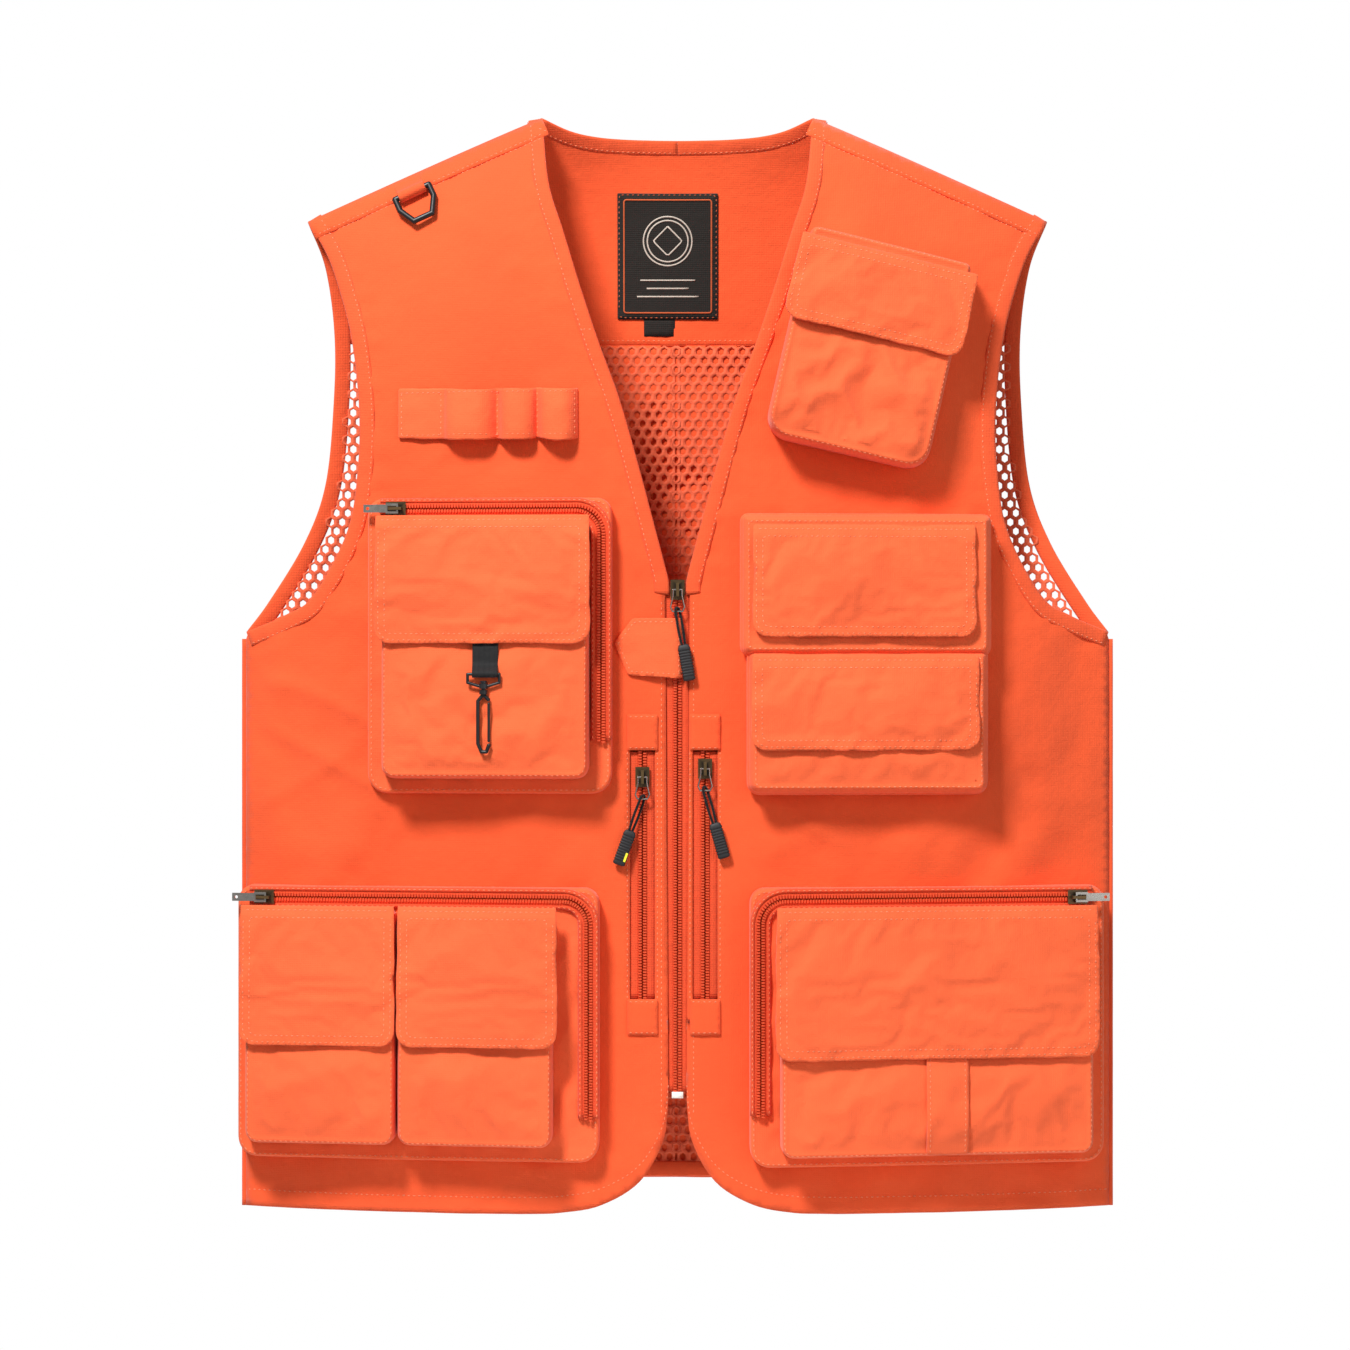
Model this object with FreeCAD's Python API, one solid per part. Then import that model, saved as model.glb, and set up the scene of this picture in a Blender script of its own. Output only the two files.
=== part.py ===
import FreeCAD, Part
import math
import os

# Multi-pocket utility vest, held up by its nape and closed by its front zip.
# Millimetres. +Z is up, the front faces -Y, +X is the wearer's left.
# Origin: the middle of the back neckline, on its top edge.
# Outlines are drawn as seen from the front, in X and Z, and cut from cloth layers whose
# place in Y comes from the body's two curved faces or from a pocket's flat front.

V = FreeCAD.Vector

# ------------------------------------------------------------------ body
SIDE_X = 265.0            # side seam from the centre line
HEM_Z = -651.0            # hem below the nape
BACK_HEM_RISE = 12.0      # the back hem is higher in the middle
FRONT_DEPTH = 45.0        # how far the front bulges ahead of the side seams
BACK_DEPTH = 40.0         # how far the back bulges behind them
SHOULDER_ROLL = 45.0      # drop below the shoulder ridge in which that depth builds up
SIDE_POWER = 2.5          # how late the depth fades towards the sides
NECK_X = 82.5             # where the neckline meets the shoulder
NECK_Z = 11.0
TIP_INSET = 40.0          # shoulder tip, in from the side seam
TIP_Z = -52.0
RIDGE_BLEND = 40.0        # rounding of the ridge line across the neck
UNDERARM_Z = -302.0
V_BOTTOM_Z = -272.0       # foot of the neckline V
FRONT_EDGE_X = 5.5        # front panel's straight edge from the centre line
YOKE_Z = -123.0           # yoke seam across the back
YOKE_WRAP = 12.0          # the yoke comes this far over the shoulder
SHELL_X = 187.0           # half width of the solid part of the back
CLOTH = 1.2               # two layers of cloth
MESH = 0.9
GAP = 0.3                 # clearance between neighbouring pieces
SEAM_INSET = 2.5          # cloth stops this far inside the side seam tape
LINING_INSET = 20.0       # front linings stop this far inside the side seam
BINDING = 8.5             # neck binding's width
BINDING_THICK = 2.4
ARM_BAND = 9.0            # armhole binding's width
LEAD = 3.0                # cutting outlines run this far past the cloth's edge

# ------------------------------------------------------------------ zips
TAPE_HALF = 4.5           # half width of a pocket zip's two tapes
TAPE = 0.8
SLOT_HALF = 0.6           # half the slot between the two rows
ROW = 2.0                 # width of one coil row
ROW_HIGH = 1.4
PLATE = 1.0               # slider's plates
PLATE_GAP = 0.3           # plate to coil or tape
SLIDER_LONG = 12.0
SLIDER_HALF = 4.2
WEB_HALF = 0.25
BRIDGE_HIGH = 4.6
BRIDGE_BAR = 0.9          # radius of the bridge's bar
MAIN_TOP_Z = -277.0       # middle of the main slider when the zip is closed
MAIN_STOP_RISE = 74.0     # bottom stop above the hem
MAIN_TAPE_HALF = 8.0
HAND_TOP_Z = -380.0       # hand pocket zips
HAND_END_Z = -522.0
HAND_RIGHT_X = -21.0
HAND_LEFT_X = 16.5
HAND_RIGHT_Z = -389.0     # their sliders
HAND_LEFT_Z = -384.0
HAND_WINDOW = 7.5         # half width of the window that shows the zip
PATCH_LONG = 21.5         # patches above and below the hand zips
HAND_BAG = 2.0            # a hand pocket's two layers lying together

# ------------------------------------------------------------------ pulls
BAIL_WIRE = 0.5           # radius of the wire loop on a slider
BAIL_LONG = 13.0
BAIL_HALF = 4.2
PULL_LONG = 19.0          # flat metal pulls of the cargo pockets
PULL_HALF = 2.4
PULL_THICK = 1.2
CORD = 1.6                # pull cord's diameter
CORD_DROP = 20.0          # bail's end to the grip
GRIP_LONG = 22.0
GRIP_HALF = 3.8
GRIP_THICK = 3.6
MAIN_SWING = 10.0         # degrees each grip hangs to the wearer's left
HAND_RIGHT_SWING = -20.0
HAND_LEFT_SWING = 16.0

# ------------------------------------------------------------------ pockets
WALL = 1.2
LIFT = CLOTH / 2 + GAP    # first layer clear of the body's cloth
FLAP_GAP = 2.2            # flap's inner face ahead of its pocket's front
FLAP_DROP = 12.5          # flap's hinge below its bag's top
HEADER = 7.0              # strip that the flap is sewn to
MOUTH = 14.0              # height of the mouth under the flap
ZIP_INSET = 6.5           # pocket zip's centre line inside the bag's edge
TURN_R = 15.0             # the zip's turn from the top run to the side run

CHEST_IN_X = 39.0
CHEST_CLEAR = 6.0         # chest pocket to the armhole
CHEST_TOP_Z = -222.0
CHEST_BOTTOM_Z = -399.0
CARGO_IN_X = 46.5
CARGO_HIGH = 164.0
CARGO_RISE = 32.0         # cargo pocket's bottom above the hem
LEFT_IN_X = 43.0
LEFT_SIDE_INSET = 7.0
LEFT_HIGH = 167.0
LEFT_RISE = 29.0
LEFT_STRAP_WIDE = 25.0    # strap sewn up the left cargo pocket's front
LEFT_STRAP_SHIFT = 10.0   # outwards from the pocket's middle

PHONE_TILT = 13.0         # degrees, outer end lower
PHONE_X = 80.0            # inner top corner of the phone pocket
PHONE_Z = -59.0
PHONE_WIDE = 100.0
PHONE_HIGH = 129.0

BELLOWS_IN_X = 40.0
BELLOWS_WIDE = 146.0
BELLOWS_TOP_Z = -234.0
BELLOWS_SPLIT_Z = -315.0
BELLOWS_BOTTOM_Z = -397.0

LOOP_X = -168.0           # outer end of the tool loop band
LOOP_TOP_Z = -156.0
LOOP_HIGH = 30.0
LOOP_SPANS = (35.0, 24.0, 24.0)
LOOP_FLAT = 25.0
LOOP_OUT = 8.0

RING_X = -161.0           # D-ring on the right shoulder
RING_DROP = 12.0          # its bar below the ridge
RING_HALF = 13.0
RING_DEEP = 20.0
RING_WIRE = 1.8
RING_OUT = 6.0            # its bar ahead of the front's curve
KEEPER_HALF = 9.0

LABEL_WIDE = 62.0
LABEL_HIGH = 77.0
LABEL_TOP_Z = -31.0
LABEL_X = -6.0            # label's middle, a little towards the right shoulder
SIZE_TAB_WIDE = 19.2
SIZE_TAB_HIGH = 10.2
SIZE_TAB_X = -11.1

tip_x = SIDE_X - TIP_INSET
arm_x = SIDE_X - 73.0     # narrowest part of the front between the armholes
panel_x = SIDE_X - SEAM_INSET
main_stop_z = HEM_Z + MAIN_STOP_RISE


# ------------------------------------------------------------------ cloth layers
def ridge_arc(x):
    return math.hypot(x, RIDGE_BLEND)


ridge_slope = (NECK_Z - TIP_Z) / (ridge_arc(tip_x) - ridge_arc(NECK_X))


def ridge_z(x):
    return NECK_Z - ridge_slope * (ridge_arc(x) - ridge_arc(NECK_X))


def bulge(x, z):
    """Share of the full depth at a point: none on the shoulder ridge and the side seams."""
    across = 1 - abs(x / SIDE_X) ** SIDE_POWER
    drop = (ridge_z(x) - z) / SHOULDER_ROLL
    down = 1 - math.exp(-drop) if drop > 0 else drop
    return across * down


seam_y = -BACK_DEPTH * bulge(0, 0)


def front_y(x, z):
    return seam_y - FRONT_DEPTH * bulge(x, z)


def back_y(x, z):
    return seam_y + BACK_DEPTH * bulge(x, z)


def curved_face(height):
    reach = SIDE_X + 6
    columns = 21
    rows = [40, 20, 0, -20, -40, -65, -95, -130, -175, -225]
    low = HEM_Z - 14
    rows += [rows[-1] + (low - rows[-1]) * i / 8 for i in range(1, 9)]
    grid = []
    for i in range(columns):
        x = -reach + 2 * reach * i / (columns - 1)
        grid.append([V(x, height(x, z), z) for z in rows])
    surface = Part.BSplineSurface()
    surface.interpolate(grid)
    return surface.toShape()


FRONT = curved_face(front_y)
BACK = curved_face(back_y)


def flat_face(at):
    """A flat layer y = a + b x + c z through three points (x, z, distance out from the front)."""
    points = [V(x, front_y(x, z) - out, z) for x, z, out in at]
    normal = (points[1] - points[0]).cross(points[2] - points[0])

    def height(x, z):
        return points[0].y - (normal.x * (x - points[0].x) + normal.z * (z - points[0].z)) / normal.y

    corners = [(-400, HEM_Z - 150), (400, HEM_Z - 150), (400, 150), (-400, 150)]
    ring = [V(x, height(x, z), z) for x, z in corners]
    return Part.Face(Part.makePolygon(ring + ring[:1])), height


def layer(face, near, far):
    """Solid between two copies of a face, set near and far out along -Y."""
    return face.translated(V(0, -far, 0)).extrude(V(0, far - near, 0))


# ------------------------------------------------------------------ outlines in X and Z
def edge(points):
    vectors = [V(x, 0, z) for x, z in points]
    if len(vectors) == 2:
        return Part.LineSegment(*vectors).toShape()
    curve = Part.BSplineCurve()
    curve.interpolate(vectors)
    return curve.toShape()


def region(*runs):
    return Part.Face(Part.Wire([edge(run) for run in runs]))


def rectangle(x0, x1, z0, z1, low_r=0.0, high_r=0.0):
    face = Part.makePlane(x1 - x0, z1 - z0, V(x0, 0, z0), V(0, -1, 0), V(1, 0, 0))
    solid = face.extrude(V(0, 1, 0))
    for radius, z in ((low_r, z0), (high_r, z1)):
        if radius:
            corners = [e for e in solid.Edges if abs(e.CenterOfMass.z - z) < 1e-6
                       and abs(e.Length - 1) < 1e-6]
            solid = solid.makeFillet(radius, corners)
    return [f for f in solid.Faces if abs(f.CenterOfMass.y) < 1e-6][0]


def prism(face):
    return face.translated(V(0, -160, 0)).extrude(V(0, 260, 0))


def mirrored(shape):
    return shape.mirror(V(0, 0, 0), V(1, 0, 0))


def flip(points):
    return [(-x, z) for x, z in points]


def shifted(points, distance):
    """The same line moved to its right-hand side by a distance."""
    moved = []
    for i, (x, z) in enumerate(points):
        x0, z0 = points[max(i - 1, 0)]
        x1, z1 = points[min(i + 1, len(points) - 1)]
        long = math.hypot(x1 - x0, z1 - z0)
        moved.append((x + (z1 - z0) / long * distance, z - (x1 - x0) / long * distance))
    return moved


def band(points, width):
    """Strip on the right-hand side of a line; it also covers a little of the other side."""
    near = shifted(points, -LEAD)
    far = shifted(points, width)[::-1]
    return region(near, [near[-1], far[0]], far, [far[-1], near[0]])


def reached(points, extra):
    """The line made longer at both ends."""
    (x0, z0), (x1, z1) = points[0], points[1]
    (x2, z2), (x3, z3) = points[-2], points[-1]
    a = extra / math.hypot(x1 - x0, z1 - z0)
    b = extra / math.hypot(x3 - x2, z3 - z2)
    first = (x0 - (x1 - x0) * a, z0 - (z1 - z0) * a)
    last = (x3 + (x3 - x2) * b, z3 + (z3 - z2) * b)
    return [first] + points + [last]


# Lines of the left half. The neckline runs down the front, the armholes run down too.
NECK_LINE = [(NECK_X, NECK_Z), (78, -31), (69, -61), (58, -97), (47, -130), (35, -163), (23, -205),
             (13.5, -241), (FRONT_EDGE_X, V_BOTTOM_Z)]
NAPE_LINE = [(0, 0), (30, 0.4), (50, 1.6), (66, 4.6), (NECK_X, NECK_Z)]
FRONT_ARM = [(tip_x, TIP_Z), (arm_x + 22, -70), (arm_x + 14, -90), (arm_x + 5, -123), (arm_x, -165),
             (arm_x + 0.5, -202), (arm_x + 7, -241), (arm_x + 28, -280), (arm_x + 46, -292),
             (panel_x, UNDERARM_Z)]
BACK_ARM = [(tip_x, TIP_Z), (arm_x + 23, -79), (arm_x + 18, -118), (arm_x + 18.5, -160),
            (arm_x + 23.5, -211), (arm_x + 36, -247), (arm_x + 57, -283), (panel_x, UNDERARM_Z)]
FRONT_CORNER = [(FRONT_EDGE_X, HEM_Z + 68), (8.7, HEM_Z + 44), (22.5, HEM_Z + 20), (45, HEM_Z + 6),
                (70, HEM_Z + 1), (95, HEM_Z)]
RIDGE = [(x, ridge_z(x)) for x in (NECK_X, 118, 154, 190, tip_x)]
BACK_HEM = [(x * panel_x, HEM_Z + BACK_HEM_RISE * (1 - x * x)) for x in (-1, -0.5, 0, 0.5, 1)]


def front_half():
    return region(NECK_LINE, [NECK_LINE[-1], FRONT_CORNER[0]], FRONT_CORNER,
                  [FRONT_CORNER[-1], (panel_x, HEM_Z)], [(panel_x, HEM_Z), FRONT_ARM[-1]],
                  FRONT_ARM[::-1], RIDGE[::-1])


def back_whole():
    return region(flip(NAPE_LINE)[::-1], NAPE_LINE, RIDGE, BACK_ARM, [BACK_ARM[-1], BACK_HEM[-1]],
                  BACK_HEM[::-1], [BACK_HEM[0], flip(BACK_ARM)[-1]], flip(BACK_ARM)[::-1],
                  flip(RIDGE)[::-1])


def both(face):
    return [face, mirrored(face)]


def bands(line, width):
    """The strip itself, and the same strip with clearance to cut its neighbours back."""
    long = reached(line, LEAD)
    return band(long, width), band(long, width + GAP)


NECK_BAND, NECK_CUT = bands(NECK_LINE[::-1], BINDING)
NAPE_BAND, NAPE_CUT = bands(NAPE_LINE, BINDING)
FRONT_ARM_BAND, FRONT_ARM_CUT = bands(FRONT_ARM, ARM_BAND)
BACK_ARM_BAND, BACK_ARM_CUT = bands(BACK_ARM, ARM_BAND)
RIDGE_BAND, RIDGE_CUT = bands(RIDGE, YOKE_WRAP)


def cloth_cut(face, area, near, far):
    return layer(face, near, far).common(prism(area))


FRONT_TAPE_LOW = -CLOTH / 2 - GAP - TAPE
FRONT_ROW_TOP = -CLOTH / 2 - GAP + ROW_HIGH
HAND_BAG_NEAR = FRONT_TAPE_LOW - PLATE_GAP - PLATE - GAP


# ------------------------------------------------------------------ the body's pieces
def front_panel():
    area = front_half().cut([NECK_CUT, FRONT_ARM_CUT, RIDGE_CUT])
    return cloth_cut(FRONT, area, -CLOTH / 2, CLOTH / 2)


def front_lining():
    area = front_half().cut([NECK_CUT, FRONT_ARM_CUT, RIDGE_CUT])
    inner = area.common(rectangle(MAIN_TAPE_HALF + 1, SIDE_X - LINING_INSET, HEM_Z + 12, 20))
    far = HAND_BAG_NEAR - HAND_BAG - GAP
    return cloth_cut(FRONT, inner, far - MESH, far)


def back_yoke():
    half_cut = both(BACK_ARM_CUT) + both(NAPE_CUT)
    top = back_whole().cut(half_cut).common(rectangle(-SIDE_X, SIDE_X, YOKE_Z, 60))
    pieces = [cloth_cut(BACK, top, -CLOTH / 2, CLOTH / 2)]
    strip = front_half().common(RIDGE_BAND).cut([NECK_CUT, FRONT_ARM_CUT])
    for side in both(strip):
        pieces.append(cloth_cut(FRONT, side, -CLOTH / 2, CLOTH / 2))
    return pieces[0].fuse(pieces[1:]).removeSplitter()


def back_shell():
    area = back_whole().common(rectangle(-SHELL_X, SHELL_X, HEM_Z - 5, YOKE_Z - GAP))
    return cloth_cut(BACK, area, -CLOTH / 2, CLOTH / 2)


def back_mesh():
    area = back_whole().cut(both(BACK_ARM_CUT))
    side = SIDE_X - LINING_INSET / 2
    area = area.common(rectangle(-side, side, HEM_Z + 8, YOKE_Z - 5))
    out = CLOTH / 2 + GAP
    return cloth_cut(BACK, area, out, out + MESH)


def wrapped(front_areas, back_areas):
    half = BINDING_THICK / 2
    pieces = [cloth_cut(FRONT, area, -half, half) for area in front_areas]
    pieces += [cloth_cut(BACK, area, -half, half) for area in back_areas]
    return pieces[0].fuse(pieces[1:]).removeSplitter()


def neck_binding():
    front = front_half().common(NECK_BAND)
    nape = back_whole().common(NAPE_BAND)
    return wrapped(both(front), both(nape))


def armhole_bindings():
    front = front_half().common(FRONT_ARM_BAND)
    back = back_whole().common(BACK_ARM_BAND)
    left = wrapped([front], [back])
    return Part.makeCompound([left, mirrored(left)])


def side_seams():
    high = UNDERARM_Z - 6 - HEM_Z
    tape = Part.makeBox(2.2, 2.5, high, V(panel_x + GAP, seam_y - 0.5, HEM_Z))
    return Part.makeCompound([tape, mirrored(tape)])


def neck_label():
    area = rectangle(LABEL_X - LABEL_WIDE / 2, LABEL_X + LABEL_WIDE / 2, LABEL_TOP_Z - LABEL_HIGH,
                     LABEL_TOP_Z)
    near = CLOTH / 2 + GAP
    return cloth_cut(BACK, area, near, near + 0.8)


def size_tab():
    half = SIZE_TAB_WIDE / 2
    top = LABEL_TOP_Z - LABEL_HIGH - GAP
    area = rectangle(SIZE_TAB_X - half, SIZE_TAB_X + half, top - SIZE_TAB_HIGH, top)
    near = CLOTH / 2 + GAP
    return cloth_cut(BACK, area, near, near + 0.6)


# ------------------------------------------------------------------ tool loops and D-ring
def tool_loops():
    """A band sewn flat at one end, then raised into loops that stand out of the chest."""
    z_low = LOOP_TOP_Z - LOOP_HIGH

    def out_line(extra):
        x = LOOP_X
        line = [(x, 0.0), (x + LOOP_FLAT, 0.0)]
        x += LOOP_FLAT
        for span in LOOP_SPANS:
            line += [(x + 0.28 * span, LOOP_OUT), (x + 0.72 * span, LOOP_OUT), (x + span, 0.0)]
            x += span
        return [V(px, front_y(px, z_low) - LIFT - out - extra, z_low) for px, out in line]

    inner = out_line(0)
    outer = out_line(WALL)[::-1]
    return Part.Face(Part.makePolygon(inner + outer + inner[:1])).extrude(V(0, 0, LOOP_HIGH))


def ring_frame():
    """Centre of the D-ring's bar, the way along the seam and the way down the chest."""
    z = ridge_z(RING_X) - RING_DROP
    along = V(1, 0, ridge_slope).normalize()
    centre = V(RING_X, front_y(RING_X, z) - RING_OUT, z)
    low_x = RING_X + along.z * RING_DEEP
    low_z = z - along.x * RING_DEEP
    down = V(low_x, front_y(low_x, low_z) - RING_OUT, low_z) - centre
    down = (down - along * down.dot(along)).normalize()
    return centre, along, down


def ring_keeper():
    centre, along, _ = ring_frame()
    tube = Part.makeCylinder(RING_WIRE + 1.5, 2 * KEEPER_HALF, centre - along * KEEPER_HALF, along)
    bore = Part.makeCylinder(RING_WIRE + GAP, 60, centre - along * 30, along)
    return tube.cut(bore)


def d_ring():
    centre, along, down = ring_frame()
    side = RING_HALF - RING_WIRE
    points = [centre - along * side, centre + along * side, centre + along * side + down * 9,
              centre + along * 6 + down * RING_DEEP, centre - along * 6 + down * RING_DEEP,
              centre - along * side + down * 9]
    ring = None
    for i, start in enumerate(points):
        end = points[(i + 1) % len(points)]
        bar = Part.makeCylinder(RING_WIRE, (end - start).Length, start, end - start)
        knob = Part.makeSphere(RING_WIRE, start)
        ring = bar.fuse(knob) if ring is None else ring.fuse([bar, knob])
    return ring.removeSplitter()


# ------------------------------------------------------------------ pockets
CARGO_BOTTOM_Z = HEM_Z + CARGO_RISE
CARGO_TOP_Z = CARGO_BOTTOM_Z + CARGO_HIGH
LEFT_BOTTOM_Z = HEM_Z + LEFT_RISE
LEFT_TOP_Z = LEFT_BOTTOM_Z + LEFT_HIGH
CHEST_OUT_X = arm_x - CHEST_CLEAR
CARGO_OUT_X = SIDE_X + 1
LEFT_OUT_X = SIDE_X - LEFT_SIDE_INSET
BELLOWS_OUT_X = BELLOWS_IN_X + BELLOWS_WIDE


def fronts(x_in, x_out, z_top, z_bottom, bag_in, bag_out, bag_swell, patch_top, patch_bottom):
    """The flat fronts of a bag and of the patch pocket on it."""
    bag = [(x_in, z_top, bag_in), (x_out, z_top, bag_out), (x_in, z_bottom, bag_in + bag_swell)]
    bag_face, bag_y = flat_face(bag)
    patch = [(x_in, z_top, bag_in + patch_top), (x_out, z_top, bag_out + patch_top),
             (x_in, z_bottom, bag_in + bag_swell + patch_bottom)]
    patch_face, patch_y = flat_face(patch)
    return bag_face, bag_y, patch_face, patch_y


CHEST = fronts(-CHEST_IN_X, -CHEST_OUT_X, CHEST_TOP_Z, CHEST_BOTTOM_Z, 11, 13, 0, 14, 19)
CARGO = fronts(-CARGO_IN_X, -CARGO_OUT_X, CARGO_TOP_Z, CARGO_BOTTOM_Z, 15, 23, 0, 14, 20)
LEFT = fronts(LEFT_IN_X, LEFT_OUT_X, LEFT_TOP_Z, LEFT_BOTTOM_Z, 15, 21, 0, 14, 20)
BELLOWS_FACE = flat_face([(BELLOWS_IN_X, BELLOWS_TOP_Z, 19), (BELLOWS_OUT_X, BELLOWS_TOP_Z, 22),
                          (BELLOWS_IN_X, BELLOWS_BOTTOM_Z, 23)])[0]
PHONE_FACE = flat_face([(PHONE_X + 8, PHONE_Z + 3, 28), (PHONE_X + 112, PHONE_Z - 24, 29),
                        (PHONE_X - 18, PHONE_Z - 121, 28)])[0]


def between(base, base_near, face, area):
    """Solid from base_near out from a base layer to a flat front."""
    return layer(base, base_near, 120).common(layer(face, -90, 0)).common(prism(area))


def bag(face, x0, x1, z0, z1, slit):
    """Zip compartment: a shell on the body, open along the slit under its zip."""
    outer = between(FRONT, LIFT, face, rectangle(x0, x1, z0, z1, 12, 9))
    hollow_area = rectangle(x0 + WALL, x1 - WALL, z0 + WALL, z1 - WALL, 11, 8)
    inner = layer(FRONT, LIFT + WALL, 120).common(layer(face, -90, -WALL)).common(prism(hollow_area))
    mouth = layer(face, -WALL - 1, 5).common(prism(slit))
    return outer.cut(inner).cut(mouth)


def turned(face, angle, x, z):
    if angle:
        return face.rotated(V(x, 0, z), V(0, 1, 0), angle)
    return face


def patch(base, base_near, face, x0, x1, z0, z1, angle=0.0):
    """Open pocket: header strip at the top, then the mouth, then the front."""
    pivot = (x0, z1)
    top = z1 - HEADER

    def area(*sizes):
        return turned(rectangle(*sizes), angle, *pivot)

    outer = between(base, base_near, face, area(x0, x1, z0, z1, 8, 8))
    room = layer(base, base_near + WALL, 120).common(layer(face, -90, -WALL))
    room = room.common(prism(area(x0 + WALL, x1 - WALL, z0 + WALL, top, 7)))
    mouth = layer(base, base_near + WALL, 120)
    mouth = mouth.common(prism(area(x0 + WALL, x1 - WALL, top - MOUTH, top)))
    return outer.cut(room).cut(mouth)


def flap(face, x0, x1, z0, z1, angle=0.0, pivot=(0, 0)):
    area = turned(rectangle(x0, x1, z0, z1, 8), angle, *pivot)
    return layer(face, FLAP_GAP, FLAP_GAP + CLOTH).common(prism(area))


# Flap outlines: x low, x high, z low, z high
CHEST_FLAP = (-(CHEST_OUT_X - 6), -(CHEST_IN_X + 13.5), CHEST_BOTTOM_Z + 90, CHEST_TOP_Z - FLAP_DROP)
CARGO_SPLIT_X = -(CARGO_OUT_X - 98)
CARGO_FLAP_OUT = (-(CARGO_OUT_X - 4), CARGO_SPLIT_X - 1.2, CARGO_TOP_Z - 94, CARGO_TOP_Z - FLAP_DROP)
CARGO_FLAP_IN = (CARGO_SPLIT_X + 1.2, -(CARGO_IN_X + 25.5), CARGO_TOP_Z - 94, CARGO_TOP_Z - FLAP_DROP)
LEFT_FLAP = (LEFT_IN_X + 16, LEFT_OUT_X - 6, LEFT_TOP_Z - 101, LEFT_TOP_Z - FLAP_DROP)
UPPER_FLAP = (BELLOWS_IN_X + 5, BELLOWS_OUT_X - 8, BELLOWS_TOP_Z - 71, BELLOWS_TOP_Z - 6)
LOWER_FLAP = (BELLOWS_IN_X + 4.5, BELLOWS_OUT_X - 6, BELLOWS_SPLIT_Z - 57.5, BELLOWS_SPLIT_Z - 3)
PHONE_FLAP = (PHONE_X - 4, PHONE_X + PHONE_WIDE + 4, PHONE_Z - 58, PHONE_Z - 8)


def chest_cargo_bag():
    slit = rectangle(-CHEST_OUT_X + 20, -CHEST_IN_X - 28, CHEST_TOP_Z - ZIP_INSET - 1.5,
                     CHEST_TOP_Z - ZIP_INSET + 1.5)
    return bag(CHEST[0], -CHEST_OUT_X, -CHEST_IN_X, CHEST_BOTTOM_Z, CHEST_TOP_Z, slit)


def chest_front_pocket():
    x0, x1, _, z1 = CHEST_FLAP
    return patch(CHEST[0], GAP, CHEST[2], x0 + 3, x1, CHEST_BOTTOM_Z + 9, z1)


def right_cargo_bag():
    slit = rectangle(-CARGO_OUT_X + 30, -CARGO_IN_X - 30, CARGO_TOP_Z - ZIP_INSET - 1.5,
                     CARGO_TOP_Z - ZIP_INSET + 1.5)
    return bag(CARGO[0], -CARGO_OUT_X, -CARGO_IN_X, CARGO_BOTTOM_Z, CARGO_TOP_Z, slit)


def right_cargo_front_pockets():
    x0, x1, _, z1 = CARGO_FLAP_OUT
    x2, x3, _, _ = CARGO_FLAP_IN
    low = CARGO_BOTTOM_Z + 10
    outer = patch(CARGO[0], GAP, CARGO[2], x0 + 2, x1 + 1, low, z1)
    inner = patch(CARGO[0], GAP, CARGO[2], x2 - 1 + GAP, x3 - 2, low, z1)
    return Part.makeCompound([outer, inner])


def left_cargo_bag():
    slit = rectangle(LEFT_IN_X + 30, LEFT_OUT_X - 30, LEFT_TOP_Z - ZIP_INSET - 1.5,
                     LEFT_TOP_Z - ZIP_INSET + 1.5)
    return bag(LEFT[0], LEFT_IN_X, LEFT_OUT_X, LEFT_BOTTOM_Z, LEFT_TOP_Z, slit)


def left_cargo_front_pocket():
    x0, x1, _, z1 = LEFT_FLAP
    return patch(LEFT[0], GAP, LEFT[2], x0 + 2, x1 - 2, LEFT_BOTTOM_Z + 7, z1)


def left_cargo_strap():
    middle = (LEFT_IN_X + LEFT_OUT_X) / 2 + LEFT_STRAP_SHIFT
    half = LEFT_STRAP_WIDE / 2
    area = rectangle(middle - half, middle + half, LEFT_BOTTOM_Z + 9, LEFT_FLAP[2] + 12)
    return layer(LEFT[2], GAP, GAP + 1.4).common(prism(area))


def upper_bellows_pocket():
    return patch(FRONT, LIFT, BELLOWS_FACE, BELLOWS_IN_X, BELLOWS_OUT_X, BELLOWS_SPLIT_Z + GAP,
                 BELLOWS_TOP_Z)


def lower_bellows_pocket():
    return patch(FRONT, LIFT, BELLOWS_FACE, BELLOWS_IN_X + 4, BELLOWS_OUT_X - 2, BELLOWS_BOTTOM_Z,
                 BELLOWS_SPLIT_Z)


def phone_pocket():
    return patch(FRONT, LIFT, PHONE_FACE, PHONE_X, PHONE_X + PHONE_WIDE, PHONE_Z - PHONE_HIGH,
                 PHONE_Z, PHONE_TILT)


def phone_flap():
    return flap(PHONE_FACE, *PHONE_FLAP, PHONE_TILT, (PHONE_X, PHONE_Z))


# ------------------------------------------------------------------ pocket zips
def zip_curve(x_start, x_turn, z_run, z_end, off):
    """Top run, quarter turn and side run, set off to the outside of the pocket."""
    s = 1 if x_turn > x_start else -1
    cx = x_turn - s * TURN_R
    cz = z_run - TURN_R
    r = TURN_R + off
    a = V(x_start, 0, z_run + off)
    b = V(cx, 0, z_run + off)
    m = V(cx + s * r * math.sqrt(0.5), 0, cz + r * math.sqrt(0.5))
    c = V(x_turn + s * off, 0, cz)
    d = V(x_turn + s * off, 0, z_end)
    edges = [Part.LineSegment(a, b).toShape(), Part.Arc(b, m, c).toShape(),
             Part.LineSegment(c, d).toShape()]
    return edges, a, d


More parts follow.
